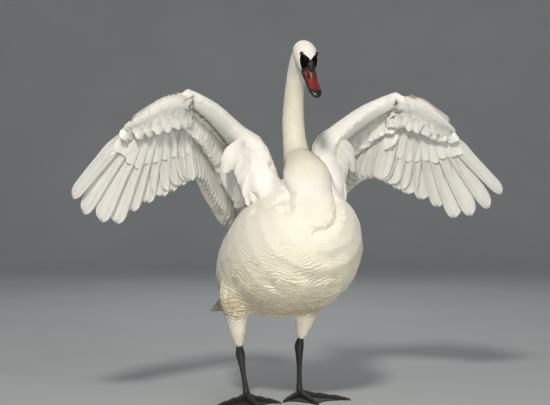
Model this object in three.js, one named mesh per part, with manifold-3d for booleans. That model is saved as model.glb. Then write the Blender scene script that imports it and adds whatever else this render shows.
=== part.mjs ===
// A mute swan standing with its wings raised and half spread, life size.
// Millimetres, +Z up. The bird faces -Y, its left side is +X, and it stands on z = 0.
// Every sub-part is one closed solid; neighbours are parted by a cut GAP wide.
import * as THREE from "three";
import { mergeVertices } from "three/addons/utils/BufferGeometryUtils.js";
import Module from "manifold-3d";

const wasm = await Module();
wasm.setup();

const GAP = 0.4; // clearance between neighbouring sub-parts
const SMOOTH = 0.2; // detail finer than this is dropped from a finished solid
const at = (x, y, z) => new THREE.Vector3(x, y, z);
const lerp = THREE.MathUtils.lerp;
const rad = THREE.MathUtils.degToRad;
const clamp = THREE.MathUtils.clamp;

// ---------------------------------------------------------------- colours
const paint = (color, roughness, metalness = 0) =>
  new THREE.MeshStandardMaterial({ color, roughness, metalness });
const PLUMAGE = paint(0xf3ead6, 0.85);
const FLIGHT = paint(0xf4f0e6, 0.7);
const ORANGE_BILL = paint(0xc8452a, 0.4);
const BLACK_SKIN = paint(0x14110f, 0.45);
const LEG_SKIN = paint(0x191614, 0.6);
const EYE = paint(0x120c08, 0.08);

// ---------------------------------------------------------------- solids
// A closed three.js geometry as a manifold-3d solid with its faces pointing out.
function solidOf(geometry) {
  const bare = geometry.clone();
  bare.deleteAttribute("normal");
  bare.deleteAttribute("uv");
  const merged = mergeVertices(bare, 1e-4);
  const triVerts = new Uint32Array(merged.index.array);
  const vertProperties = merged.attributes.position.array;
  const made = new wasm.Manifold(new wasm.Mesh({ numProp: 3, vertProperties, triVerts }));
  if (made.volume() > 0) return made;
  for (let i = 0; i < triVerts.length; i += 3)
    [triVerts[i + 1], triVerts[i + 2]] = [triVerts[i + 2], triVerts[i + 1]];
  return new wasm.Manifold(new wasm.Mesh({ numProp: 3, vertProperties, triVerts }));
}

// Rings of equally many points, skinned into a tube and closed by a fan at each end.
function skinned(rings) {
  const n = rings[0].length;
  const points = rings.flat();
  const index = [];
  for (let r = 0; r + 1 < rings.length; r++)
    for (let i = 0; i < n; i++) {
      const a = r * n + i;
      const b = r * n + ((i + 1) % n);
      index.push(a, b, a + n, b, b + n, a + n);
    }
  for (const [first, turn] of [[0, 1], [(rings.length - 1) * n, -1]]) {
    const middle = at(0, 0, 0);
    for (let i = 0; i < n; i++) middle.addScaledVector(points[first + i], 1 / n);
    points.push(middle);
    const c = points.length - 1;
    for (let i = 0; i < n; i++) {
      const a = first + i;
      const b = first + ((i + 1) % n);
      if (turn > 0) index.push(c, b, a);
      else index.push(c, a, b);
    }
  }
  return solidOf(new THREE.BufferGeometry().setFromPoints(points).setIndex(index));
}

const joined = (solids) => solids.reduce((a, b) => a.add(b));
const without = (solid, ...cutters) => cutters.reduce((a, b) => a.subtract(b), solid);
const biggest = (solid) => {
  const bodies = solid.decompose();
  return bodies.reduce((a, b) => (b.volume() > a.volume() ? b : a));
};

// ---------------------------------------------------------------- lofts
// Stations are rows of numbers: x, y, z of the middle, half width across X, then the half height on
// the upper (or rear) side and on the lower (or front) side.
function smoothRow(rows, t) {
  const k = clamp(t, 0, 1) * (rows.length - 1);
  const i = Math.min(Math.floor(k), rows.length - 2);
  const f = k - i;
  const row = (j) => rows[clamp(j, 0, rows.length - 1)];
  return rows[0].map((_, c) => {
    const [a, b, d, e] = [row(i - 1)[c], row(i)[c], row(i + 1)[c], row(i + 2)[c]];
    return b + 0.5 * f * (d - a + f * (2 * a - 5 * b + 4 * d - e + f * (3 * (b - d) + e - a)));
  });
}

// A limb, neck or trunk: superellipse rings square to the line through the stations.
function limb(rows, { rings, sides, grow = 0, from = 0, to = 1, power = 2, floor = null }) {
  const made = [];
  const width = at(1, 0, 0);
  const shape = (v) => Math.sign(v) * Math.abs(v) ** (2 / power);
  for (let r = 0; r <= rings; r++) {
    const t = lerp(from, to, r / rings);
    const [x, y, z, w, upper, lower] = smoothRow(rows, t);
    const ahead = at(...smoothRow(rows, t + 0.01).slice(0, 3));
    const along = ahead.sub(at(...smoothRow(rows, t - 0.01).slice(0, 3))).normalize();
    const side = width.clone().addScaledVector(along, -width.dot(along)).normalize();
    const top = along.clone().cross(side);
    const end = r === 0 ? -grow : r === rings ? grow : 0;
    const middle = at(x, y, z).addScaledVector(along, end);
    const ring = [];
    for (let i = 0; i < sides; i++) {
      const a = (i / sides) * 2 * Math.PI;
      const high = shape(Math.sin(a)) * ((i < sides / 2 ? upper : lower) + grow);
      const p = middle.clone().addScaledVector(side, shape(Math.cos(a)) * (w + grow));
      p.addScaledVector(top, high);
      if (floor !== null) p.z = Math.max(p.z, floor);
      ring.push(p);
    }
    made.push(ring);
  }
  return skinned(made);
}

// ---------------------------------------------------------------- trunk
const TRUNK = [
  [0, 338, 314, 24, 16, 20],
  [0, 296, 317, 92, 46, 58],
  [0, 222, 336, 148, 84, 104],
  [0, 122, 370, 182, 128, 150],
  [0, 20, 414, 198, 160, 182],
  [0, -80, 462, 196, 168, 186],
  [0, -168, 514, 168, 142, 164],
  [0, -230, 556, 112, 98, 112],
  [0, -256, 574, 54, 46, 56],
];
const trunk = (grow = 0) => limb(TRUNK, { rings: 14, sides: 18, grow, power: 2.15 });

// ---------------------------------------------------------------- neck
const NECK = [
  [0, -104, 556, 106, 80, 96],
  [0, -142, 606, 98, 76, 92],
  [0, -150, 650, 80, 64, 76],
  [0, -120, 682, 58, 50, 56],
  [0, -86, 710, 42, 40, 43],
  [0, -63, 752, 35, 36, 37],
  [0, -51, 810, 33, 34, 35],
  [0, -54, 866, 30.5, 32, 33],
  [0, -68, 920, 29, 30, 31],
  [0, -98, 972, 30, 31, 30],
  [0, -130, 1004, 28, 27, 27],
];
// The neck is cut across at these shares of its length, with a gap above each part.
const NECK_CUTS = [0.06, 0.45, 0.7, 0.97];
const NECK_GAP = 0.0006;
const NECK_RINGS = [7, 5, 6];
const neckPart = (k, grow = 0) => {
  const [from, to] = [NECK_CUTS[k], NECK_CUTS[k + 1] - NECK_GAP];
  return limb(NECK, { rings: NECK_RINGS[k], sides: 14, from, to, grow });
};

// ---------------------------------------------------------------- head
// In the head's own frame f runs forward along the bill, u towards the crown, from between the eyes.
const EYES = at(0, -173, 997);
const HEAD_PITCH = rad(45);
const FORWARD = at(0, -Math.cos(HEAD_PITCH), -Math.sin(HEAD_PITCH));
const CROWN = at(0, -Math.sin(HEAD_PITCH), Math.cos(HEAD_PITCH));
const onHead = (x, f, u) =>
  EYES.clone().add(at(x, 0, 0)).addScaledVector(FORWARD, f).addScaledVector(CROWN, u);

// Rings across the bill line. Rows: f, u of the middle, half width, height above, depth below.
function headLoft(rows, { rings, sides, grow = 0, ridge = 2, base = 2 }) {
  const made = [];
  const shape = (v, p) => Math.sign(v) * Math.abs(v) ** (2 / p);
  for (let r = 0; r <= rings; r++) {
    const [f, u, w, above, below] = smoothRow(rows, r / rings);
    const end = r === 0 ? -grow : r === rings ? grow : 0;
    const ring = [];
    for (let i = 0; i < sides; i++) {
      const a = (i / sides) * 2 * Math.PI;
      const [tall, power] = i < sides / 2 ? [above, ridge] : [below, base];
      const x = shape(Math.cos(a), power) * (w + grow);
      ring.push(onHead(x, f + end, u + shape(Math.sin(a), power) * (tall + grow)));
    }
    made.push(ring);
  }
  return skinned(made);
}
const SKULL = [
  [-62, -18, 13, 11, 10],
  [-55, -18, 24, 22, 20],
  [-42, -18, 31, 28, 28],
  [-20, -18, 34, 32.5, 33],
  [0, -19, 32.5, 33, 33],
  [16, -22, 28, 28, 28],
  [28, -27, 22, 21.5, 22],
  [34, -30, 15, 14, 15],
];
const UPPER_BILL = [
  [16, -36, 14, 20, 6],
  [28, -36.5, 19, 27, 5.5],
  [42, -37, 20, 24, 5],
  [58, -38, 19, 19.5, 4.5],
  [76, -38.5, 18, 14, 4.5],
  [96, -38.5, 18, 9.5, 4.5],
  [114, -38.5, 17, 7.5, 4.5],
  [127, -39, 11.5, 5.5, 5],
  [133, -40.5, 4, 3, 3],
];
const LOWER_BILL = [
  [16, -46, 14, 4, 9],
  [36, -46.5, 16, 4, 8],
  [66, -45.5, 15.5, 3.5, 6],
  [96, -44.5, 15, 3, 4.5],
  [116, -44, 12, 2.5, 3.5],
  [125, -43.5, 5, 1.5, 2],
];
const KNOB = [
  [21, -9, 3, 3, 3],
  [25, -9.5, 9, 9, 8],
  [33, -10, 11.5, 11.5, 9],
  [43, -13, 10, 10, 9],
  [51, -17, 7, 6, 6],
  [56, -20, 2.5, 2, 2],
];
const skull = (grow = 0) => headLoft(SKULL, { rings: 8, sides: 14, grow });
const upperBill = (grow = 0) =>
  headLoft(UPPER_BILL, { rings: 10, sides: 10, grow, ridge: 1.6, base: 5 });
const lowerBill = (grow = 0) => headLoft(LOWER_BILL, { rings: 5, sides: 8, grow });
const knob = (grow = 0) => headLoft(KNOB, { rings: 4, sides: 8, grow });

const EYE_RADIUS = 6.6;
const EYE_PLACE = { x: 21.8, f: 0, u: 0 };
function eye(side, grow = 0) {
  const ball = new THREE.SphereGeometry(EYE_RADIUS + grow, 9, 6);
  ball.translate(...onHead(side * EYE_PLACE.x, EYE_PLACE.f, EYE_PLACE.u).toArray());
  return solidOf(ball);
}

// ---------------------------------------------------------------- legs
// Ankle, toe joint and knee of each leg; the right foot is set a little ahead.
const LEGS = {
  left: { side: 1, turn: 0, knee: at(82, 34, 306), ankle: at(66, 72, 148), joint: at(62, 60, 20) },
  right: {
    side: -1, turn: rad(-8), knee: at(-150, 40, 306), ankle: at(-112, 92, 130), joint: at(-106, 54, 20),
  },
};
function thigh({ knee, ankle }, grow = 0) {
  const line = (t, w, deep) => {
    const p = knee.clone().lerp(ankle, t);
    return [p.x, p.y, p.z, w, deep, deep];
  };
  const rows = [line(-0.2, 42, 60), line(0.02, 50, 66), line(0.25, 44, 56), line(0.48, 33, 41)];
  rows.push(line(0.66, 26, 29), line(0.8, 18, 20), line(0.88, 11.5, 12.5));
  return limb(rows, { rings: 6, sides: 12, grow });
}
function shank({ knee, ankle, joint }, grow = 0) {
  const p = (from, to, t) => from.clone().lerp(to, t).toArray();
  const rows = [
    [...p(knee, ankle, 0.74), 8, 9, 9],
    [...p(knee, ankle, 0.86), 9.5, 11, 11],
    [...ankle.toArray(), 13.5, 15, 15],
    [...p(ankle, joint, 0.2), 10.5, 12, 12],
    [...p(ankle, joint, 0.5), 7.2, 10, 10],
    [...p(ankle, joint, 0.8), 7.6, 10, 10],
    [...p(ankle, joint, 1.0), 10, 11, 11],
  ];
  return limb(rows, { rings: 9, sides: 9, grow });
}

// A webbed foot flat on the floor: three toes, the web between them and a small hind toe.
const TOES = [
  { name: "inner", length: 108, spread: rad(-43), radius: 7.2 },
  { name: "middle", length: 152, spread: rad(-2), radius: 8 },
  { name: "outer", length: 150, spread: rad(43), radius: 7.4 },
];
const HIND_TOE = { name: "hind", length: 26, spread: rad(172), radius: 5 };
const CLAW = { length: 17, radius: 4.4 };
const TOE_SIDES = 6;
const WEB_THICKNESS = 3.2;

const toeWay = ({ side, turn }, spread) => {
  const a = turn + side * spread;
  return at(Math.sin(a), -Math.cos(a), 0);
};
function toe(leg, { length, spread, radius }) {
  const way = toeWay(leg, spread);
  const line = (t, rise, r) => {
    const p = at(leg.joint.x, leg.joint.y, 0).addScaledVector(way, length * t);
    return [p.x, p.y, rise, r, r, r];
  };
  const rows = [line(0, 14, radius + 2.5), line(0.16, 11, radius + 1.2), line(0.36, 7.5, radius)];
  rows.push(line(0.45, 8.5, radius + 1), line(0.68, 6.2, radius - 1), line(0.76, 7, radius - 0.4));
  rows.push(line(1, 4.6, radius - 2.6));
  return limb(rows, { rings: 5, sides: TOE_SIDES, floor: 0 });
}
function claw(leg, { length, spread, radius }) {
  const way = toeWay(leg, spread);
  const line = (d, rise, r) => {
    const p = at(leg.joint.x, leg.joint.y, 0).addScaledVector(way, length + d);
    return [p.x, p.y, rise, r, r * 0.9, r * 0.9];
  };
  const size = CLAW.radius * (radius / 8);
  const rows = [line(1, 4.6, size), line(CLAW.length * 0.45, 4.4, size * 0.8)];
  rows.push(line(CLAW.length, 1.6, size * 0.3));
  return limb(rows, { rings: 2, sides: 6, floor: 0 });
}
function web(leg) {
  const spots = TOES.map((t) =>
    at(leg.joint.x, leg.joint.y, 0).addScaledVector(toeWay(leg, t.spread), t.length - 6),
  );
  const heel = at(leg.joint.x, leg.joint.y, 0).addScaledVector(toeWay(leg, 0), 4);
  const shape = new THREE.Shape().moveTo(heel.x, heel.y).lineTo(spots[0].x, spots[0].y);
  for (const next of [1, 2]) {
    const [a, b] = [spots[next - 1], spots[next]];
    const dip = a.clone().add(b).multiplyScalar(0.5).lerp(heel, 0.2);
    shape.quadraticCurveTo(dip.x, dip.y, b.x, b.y);
  }
  const sheet = { depth: WEB_THICKNESS, bevelEnabled: false, curveSegments: 2 };
  return solidOf(new THREE.ExtrudeGeometry(shape, sheet));
}
function foot(leg) {
  const toes = [...TOES, HIND_TOE];
  const whole = joined([...toes.map((t) => toe(leg, t)), web(leg)]);
  return without(whole, shank(leg, GAP));
}

// ---------------------------------------------------------------- wings
// Left-wing landmarks, mirrored for the right. Each list runs from inside the shoulder to the wrist.
const WRIST = at(331, -86, 891);
const WRIST_COVERTS = at(318, -30, 808);
const LEADING = [
  at(98, -146, 600), at(106, -84, 700), at(154, -48, 772), at(240, -68, 845), WRIST,
];
const BONES = [
  at(92, -24, 610), at(122, 24, 728), at(166, 36, 764), at(242, -8, 822), at(329, -54, 869),
];
const COVERT_EDGE = [
  at(88, 84, 560), at(144, 100, 640), at(196, 76, 706), at(256, 28, 758), WRIST_COVERTS,
];
const HAND_LEADING = [WRIST, at(392, -80, 878), at(446, -76, 840), at(500, -66, 798)];
const HAND_COVERTS = [WRIST_COVERTS, at(378, -52, 784), at(440, -54, 774), at(494, -58, 776)];
const ARM_THICK = [112, 92, 72, 62, 50];
const HAND_THICK = [50, 43, 35, 24];
const CHORD_POINTS = 6;

const curveAt = (points, t) => at(...smoothRow(points.map((p) => p.toArray()), t));
const valueAt = (values, t) => smoothRow(values.map((v) => [v]), t)[0];
const mirror = (p, side) => at(p.x * side, p.y, p.z);

// The wing's middle surface: s runs out along the wing, c from the leading edge to the coverts' ends.
function armPoint(s, c) {
  const [a, b, d] = [curveAt(LEADING, s), curveAt(BONES, s), curveAt(COVERT_EDGE, s)];
  const bend = b.clone().multiplyScalar(2).addScaledVector(a, -0.5).addScaledVector(d, -0.5);
  return new THREE.QuadraticBezierCurve3(a, bend, d).getPoint(c);
}
const handPoint = (s, c) => curveAt(HAND_LEADING, s).lerp(curveAt(HAND_COVERTS, s), c);

// Half thickness across the chord: round at the leading edge, thin where the feathers leave.
const EDGE_SHARE = 0.14;
const EDGE_HALF = 0.4; // least half thickness
const STEP = 0.02; // share of the wing over which its directions are taken
const airfoil = (c) => Math.sqrt(clamp(1 - (1 - c / 0.3) ** 2, 0, 1));
const halfThick = (c) => (c < 0.3 ? airfoil(c) : lerp(1, EDGE_SHARE, ((c - 0.3) / 0.7) ** 0.9));

function wingLoft(point, thick, { from, to, rings, side, grow = 0 }) {
  const made = [];
  for (let r = 0; r <= rings; r++) {
    const end = r === 0 ? -grow : r === rings ? grow : 0;
    const s = lerp(from, to, r / rings);
    const [upper, lower] = [[], []];
    for (let i = 0; i <= CHORD_POINTS; i++) {
      const c = (i / CHORD_POINTS) ** 1.5;
      const p = point(s, c);
      const out = point(Math.min(s + STEP, 1), c).sub(point(Math.max(s - STEP, 0), c)).normalize();
      const back = point(s, Math.min(c + STEP, 1)).sub(point(s, Math.max(c - STEP, 0))).normalize();
      const normal = out.clone().cross(back).normalize().negate();
      const h = Math.max((halfThick(c) * valueAt(thick, s)) / 2, EDGE_HALF) + grow;
      p.addScaledVector(out, end);
      if (i === 0) p.addScaledVector(back, -grow);
      if (i === CHORD_POINTS) p.addScaledVector(back, grow);
      if (i > 0) lower.unshift(mirror(p.clone().addScaledVector(normal, -h), side));
      upper.push(mirror(p.clone().addScaledVector(normal, i ? h : 0), side));
    }
    made.push([...upper, ...lower]);
  }
  return skinned(made);
}
const ELBOW = 0.5;
const SEAM = 0.0015; // half the gap at the elbow, as a share of the arm
const upperArm = (side, grow = 0) =>
  wingLoft(armPoint, ARM_THICK, { from: 0, to: ELBOW - SEAM, rings: 6, side, grow });
const forearm = (side, grow = 0) =>
  wingLoft(armPoint, ARM_THICK, { from: ELBOW + SEAM, to: 1, rings: 6, side, grow });
const hand = (side, grow = 0) =>
  wingLoft(handPoint, HAND_THICK, { from: 0, to: 1, rings: 7, side, grow });

// A fan of overlapping flight feathers as one thin sheet. Feather k lies on the line from rootAt to
// tipAt at t = (k + 0.5) / count; between two feathers the edge steps back by `notch` of the length.
const FINGER = [0, 0.13, 0.5, 0.87];
const SCALLOP = [0, 0.25, 0.75];
function fan(options) {
  const { count, rootAt, tipAt, notch, side } = options;
  const { samples = SCALLOP, thick = 3, bow = 0.04, grow = 0 } = options;
  const steps = 3;
  const spans = [];
  for (let k = 0; k < count; k++) for (const f of samples) spans.push((k + f) / count);
  spans.push(1);
  const line = (t) => {
    const root = rootAt(t);
    const off = Math.abs(2 * ((t * count) % 1) - 1);
    const cut = off ** 4 * notch(Math.min(t, 1 - 1e-6));
    return { root, end: root.clone().lerp(tipAt(t), 1 - cut) };
  };
  const rings = spans.map((t, r) => {
    const { root, end } = line(t);
    const across = tipAt(Math.min(t + 0.03, 1)).sub(tipAt(Math.max(t - 0.03, 0)));
    across.add(rootAt(Math.min(t + 0.03, 1))).sub(rootAt(Math.max(t - 0.03, 0))).normalize();
    const along = end.clone().sub(root);
    const length = along.length();
    along.normalize();
    const square = along.clone().cross(across).normalize();
    const outer = r === 0 ? -grow : r === spans.length - 1 ? grow : 0;
    const [front, back] = [[], []];
    for (let j = 0; j <= steps; j++) {
      const q = (j / steps) ** 0.8;
      const reach = length * q + (j === 0 ? -grow : j === steps ? grow : 0);
      const p = root.clone().addScaledVector(along, reach).addScaledVector(across, outer);
      p.addScaledVector(square, bow * length * Math.sin(Math.PI * q));
      const half = lerp(thick, 1, q) / 2 + grow;
      front.push(mirror(p.clone().addScaledVector(square, half), side));
      back.unshift(mirror(p.addScaledVector(square, -half), side));
    }
    return [...front, ...back];
  });
  return skinned(rings);
}
const between = (points, t, count) =>
  curveAt(points, clamp((t * count - 0.5) / (count - 1), 0, 1));

// Tips of the flight feathers from the outermost inwards; their roots lie inside the wing.
const PRIMARY_TIPS = [
  at(648, -94, 600), at(614, -74, 557), at(562, -60, 535), at(516, -44, 530), at(469, -28, 563),
  at(421, -14, 586), at(376, -8, 603), at(347, -4, 617), at(318, -2, 633), at(290, 4, 646),
];
const EMARGINATION = 0.42; // how far the outer primaries stand apart, as a share of their length
const SECONDARIES = 9;
const SECONDARY_TIPS = [at(292, 10, 650), at(240, 56, 646), at(196, 108, 598), at(158, 140, 556)];
const TERTIALS = 3;
const TERTIAL_TIPS = [at(154, 146, 548), at(124, 172, 512), at(96, 184, 488)];

// Where a fan starts: just behind the wing's covert edge.
const ROOT_OFFSET = 2.2;
const behind = (point, s) => {
  const edge = point(s, 1);
  return edge.clone().addScaledVector(edge.clone().sub(point(s, 0.9)).normalize(), ROOT_OFFSET);
};

const primaries = (side, grow = 0) =>
  fan({
    count: PRIMARY_TIPS.length,
    rootAt: (t) => behind(handPoint, lerp(0.97, 0.01, t)),
    tipAt: (t) => between(PRIMARY_TIPS, t, PRIMARY_TIPS.length),
    notch: (t) => lerp(EMARGINATION, 0.05, clamp(t / 0.5, 0, 1)),
    samples: FINGER,
    side,
    grow,
  });
const secondaries = (side, grow = 0) =>
  fan({
    count: SECONDARIES,
    rootAt: (t) => behind(armPoint, lerp(1, 0.5, t)),
    tipAt: (t) => between(SECONDARY_TIPS, t, SECONDARIES),
    notch: () => 0.07,
    side,
    grow,
  });
const tertials = (side, grow = 0) =>
  fan({
    count: TERTIALS,
    rootAt: (t) => behind(armPoint, lerp(0.49, 0.28, t)),
    tipAt: (t) => between(TERTIAL_TIPS, t, TERTIALS),
    notch: () => 0.12,
    side,
    grow,
  });
// The thumb's feathers. Rows here: x, y, z, then half height and half depth in front and behind.
const ALULA = [
  [354, -86, 896, 7, 7, 8],
  [392, -82, 882, 13, 9, 9],
  [430, -80, 858, 14, 9, 9],
  [462, -76, 832, 11, 7, 7],
  [480, -74, 818, 5, 3, 4],
];
const alula = (side, grow = 0) => {
  const rows = ALULA.map(([x, ...rest]) => [x * side, ...rest]);
  return limb(rows, { rings: 5, sides: 8, grow });
};

// ---------------------------------------------------------------- tail
const TAIL = {
  root: at(0, 384, 282), length: 100, half: 62, feathers: 7, drop: rad(40), spread: rad(24), sag: 0.1,
};
const TAIL_BASE = [
  [0, 270, 318, 104, 52, 62],
  [0, 320, 312, 102, 46, 56],
  [0, 362, 300, 88, 30, 38],
  [0, 386, 284, 64, 8, 10],
];
const tailBase = (grow = 0) => limb(TAIL_BASE, { rings: 3, sides: 12, grow });
function tailFeather(t, reach) {
  const k = 2 * t - 1;
  const [out, back] = [Math.sin(TAIL.spread * k), Math.cos(TAIL.spread * k)];
  const way = at(out, back * Math.cos(TAIL.drop), -back * Math.sin(TAIL.drop) - TAIL.sag * k * k);
  const root = TAIL.root.clone().add(at(TAIL.half * k, 0, -4 * k * k));
  return root.addScaledVector(way, reach * (1 - 0.2 * k * k));
}
const tailFeathers = () =>
  fan({
    count: TAIL.feathers,
    rootAt: (t) => tailFeather(t, 0),
    tipAt: (t) => tailFeather(t, TAIL.length),
    notch: () => 0.14,
    thick: 4,
    bow: 0.02,
    side: 1,
  });

// ---------------------------------------------------------------- the bird
const bird = new THREE.Group();
function place(name, solid, material) {
  const { vertProperties, triVerts, numProp } = biggest(solid.simplify(SMOOTH)).getMesh();
  const xyz = new Float32Array((vertProperties.length / numProp) * 3);
  for (let i = 0, j = 0; j < xyz.length; i += numProp, j += 3)
    xyz.set(vertProperties.subarray(i, i + 3), j);
  const geometry = new THREE.BufferGeometry();
  geometry.setAttribute("position", new THREE.BufferAttribute(xyz, 3));
  geometry.setIndex(new THREE.BufferAttribute(triVerts, 1));
  const mesh = new THREE.Mesh(geometry, material);
  mesh.name = name;
  bird.add(mesh);
}

place("trunk", trunk(), PLUMAGE);
place(
  "neck_lower",
  without(neckPart(0), trunk(GAP), upperArm(1, GAP), upperArm(-1, GAP)),
  PLUMAGE,
);
place("neck_middle", without(neckPart(1), trunk(GAP)), PLUMAGE);
place("neck_upper", without(neckPart(2), skull(GAP)), PLUMAGE);
place(
  "head",
  without(skull(), upperBill(GAP), lowerBill(GAP), knob(GAP), eye(1, GAP), eye(-1, GAP)),
  PLUMAGE,
);
place("bill_upper", without(upperBill(), knob(GAP)), ORANGE_BILL);
place("bill_lower", without(lowerBill(), upperBill(GAP)), ORANGE_BILL);
place("bill_knob", knob(), BLACK_SKIN);
place("tail_base", without(tailBase(), trunk(GAP)), PLUMAGE);
place("tail_feathers", without(tailFeathers(), tailBase(GAP)), FLIGHT);

const innerFlesh = [upperArm(1, GAP), forearm(1, GAP), trunk(GAP)];
const innermost = without(tertials(1), secondaries(1, GAP), ...innerFlesh);

for (const [name, leg] of Object.entries(LEGS)) {
  place(`eye_${name}`, eye(leg.side), EYE);
  place(`thigh_${name}`, without(thigh(leg), trunk(GAP)), PLUMAGE);
  place(`shank_${name}`, without(shank(leg), thigh(leg, GAP)), LEG_SKIN);
  place(`foot_${name}`, foot(leg), LEG_SKIN);
  for (const t of [...TOES, HIND_TOE]) place(`claw_${name}_${t.name}`, claw(leg, t), BLACK_SKIN);

  const { side } = leg;
  const arms = [upperArm(side, GAP), forearm(side, GAP)];
  const flesh = [...arms, hand(side, GAP), trunk(GAP)];
  place(`wing_upper_arm_${name}`, without(upperArm(side), trunk(GAP)), PLUMAGE);
  place(`wing_forearm_${name}`, forearm(side), PLUMAGE);
  place(`wing_hand_${name}`, without(hand(side), ...arms), PLUMAGE);
  place(`alula_${name}`, without(alula(side), ...flesh), FLIGHT);
  const outer = [primaries(side, GAP), ...flesh];
  place(`primaries_${name}`, without(primaries(side), alula(side, GAP), ...flesh), FLIGHT);
  place(`secondaries_${name}`, without(secondaries(side), ...outer), FLIGHT);
  place(`tertials_${name}`, side > 0 ? innermost : innermost.mirror([1, 0, 0]), FLIGHT);
}

// The origin is the middle of the bounding box's footprint, at floor level.
const box = new THREE.Box3().setFromObject(bird);
const middle = box.getCenter(at(0, 0, 0));
bird.position.set(-middle.x, -middle.y, 0);

export default bird;
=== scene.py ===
"""A mute swan standing with its wings raised: skin, feathers, bill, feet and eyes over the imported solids.

Metres, +Z up. The bird faces -Y and its left side is +X. Landmarks are given in millimetres in the
solids' own modelling frame and moved by `spot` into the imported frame.
"""
import math

import bmesh
import bpy
import numpy as np
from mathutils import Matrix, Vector
from mathutils.bvhtree import BVHTree
from mathutils.kdtree import KDTree


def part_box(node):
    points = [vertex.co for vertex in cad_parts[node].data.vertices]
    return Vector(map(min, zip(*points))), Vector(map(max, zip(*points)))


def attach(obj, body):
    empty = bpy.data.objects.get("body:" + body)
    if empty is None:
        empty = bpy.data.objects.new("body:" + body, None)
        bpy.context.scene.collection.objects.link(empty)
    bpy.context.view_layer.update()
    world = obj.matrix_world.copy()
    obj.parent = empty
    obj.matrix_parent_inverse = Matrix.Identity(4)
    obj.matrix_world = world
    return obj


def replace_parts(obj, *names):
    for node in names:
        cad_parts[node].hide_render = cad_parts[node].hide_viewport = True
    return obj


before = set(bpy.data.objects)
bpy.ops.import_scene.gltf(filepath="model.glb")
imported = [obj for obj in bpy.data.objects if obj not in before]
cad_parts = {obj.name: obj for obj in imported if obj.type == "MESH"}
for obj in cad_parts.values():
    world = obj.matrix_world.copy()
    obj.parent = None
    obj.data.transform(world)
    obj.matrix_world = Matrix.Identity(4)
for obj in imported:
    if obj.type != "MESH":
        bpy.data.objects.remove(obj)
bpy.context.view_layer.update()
rng = np.random.default_rng(11)
SIDES = {"left": 1, "right": -1}
MM = 0.001

# ---------------------------------------------------------------- places
low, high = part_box("eye_left")
EYE_Y, EYE_Z = (low.y + high.y) / 2, (low.z + high.z) / 2
SHIFT = EYE_Y + 173 * MM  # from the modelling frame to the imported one, along Y


def spot(*rows):
    """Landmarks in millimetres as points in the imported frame."""
    places = np.array(rows, float) * MM
    places[..., 1] += SHIFT
    return places


def unit(v):
    return v / np.maximum(np.linalg.norm(v, axis=-1, keepdims=True), 1e-12)


def mix(a, b, t):
    return a + (b - a) * t


def step(low, high, x):
    t = np.clip((x - low) / (high - low), 0, 1)
    return t * t * (3 - 2 * t)


def smooth_row(rows, t):
    """A smooth curve through evenly spaced rows; t from 0 to 1."""
    rows = np.asarray(rows, float)
    t = np.asarray(t, float)
    k = np.clip(t, 0, 1) * (len(rows) - 1)
    i = np.minimum(np.floor(k).astype(int), len(rows) - 2)
    f = (k - i)[..., None] if rows.ndim > 1 else k - i
    a, b, d, e = (rows[np.clip(i + j, 0, len(rows) - 1)] for j in (-1, 0, 1, 2))
    return b + 0.5 * f * (d - a + f * (2 * a - 5 * b + 4 * d - e + f * (3 * (b - d) + e - a)))


# The head's frame: f forward along the bill, u towards the crown, from between the eyes.
PITCH = math.radians(45)
FORWARD = np.array([0, -math.cos(PITCH), -math.sin(PITCH)])
CROWN = np.array([0, -math.sin(PITCH), math.cos(PITCH)])
EYES = np.array([0, EYE_Y, EYE_Z])


def on_head(x, f, u):
    """A point of the head's frame, given in millimetres."""
    x, f, u = np.broadcast_arrays(*(np.asarray(v, float) * MM for v in (x, f, u)))
    return EYES + x[..., None] * np.array([1, 0, 0]) + f[..., None] * FORWARD + u[..., None] * CROWN


def head_frame(points):
    """x, f and u of points, in millimetres."""
    d = (points - EYES) / MM
    return d[..., 0], d @ FORWARD, d @ CROWN


# ---------------------------------------------------------------- meshes
def grid_faces(rows, columns, wrap=False):
    """Quads of a grid of points, row by row; wrap closes each row into a ring."""
    r, c = np.mgrid[0 : rows - 1, 0 : columns if wrap else columns - 1]
    n = (c + 1) % columns
    return np.stack([r * columns + c, r * columns + n, (r + 1) * columns + n, (r + 1) * columns + c], -1).reshape(-1, 4)


def make_piece(name, points, faces, material, slot, maps=None, values=None, tris=()):
    """A mesh object riding on the root; maps are UVs per point, values are floats per point."""
    mesh = bpy.data.meshes.new(name)
    faces = np.asarray(faces, np.int32).reshape(-1, 4)
    tris = np.asarray(tris, np.int32).reshape(-1, 3)
    loops = np.concatenate([faces.ravel(), tris.ravel()])
    sizes = np.concatenate([np.full(len(faces), 4), np.full(len(tris), 3)])
    mesh.vertices.add(len(points))
    mesh.vertices.foreach_set("co", np.asarray(points, np.float32).ravel())
    mesh.loops.add(len(loops))
    mesh.loops.foreach_set("vertex_index", loops)
    mesh.polygons.add(len(sizes))
    mesh.polygons.foreach_set("loop_start", np.concatenate([[0], np.cumsum(sizes)[:-1]]).astype(np.int32))
    mesh.polygons.foreach_set("use_smooth", np.ones(len(sizes), bool))
    for key, uv in (maps or {}).items():
        layer = mesh.uv_layers.new(name=key)
        layer.uv.foreach_set("vector", np.asarray(uv, np.float32)[loops].ravel())
    for key, value in (values or {}).items():
        mesh.attributes.new(key, "FLOAT", "POINT").data.foreach_set("value", np.asarray(value, np.float32).ravel())
    mesh.update(calc_edges=True)
    piece = bpy.data.objects.new(name, mesh)
    bpy.context.scene.collection.objects.link(piece)
    mesh.materials.append(material)
    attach(piece, "root")
    return piece


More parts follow.
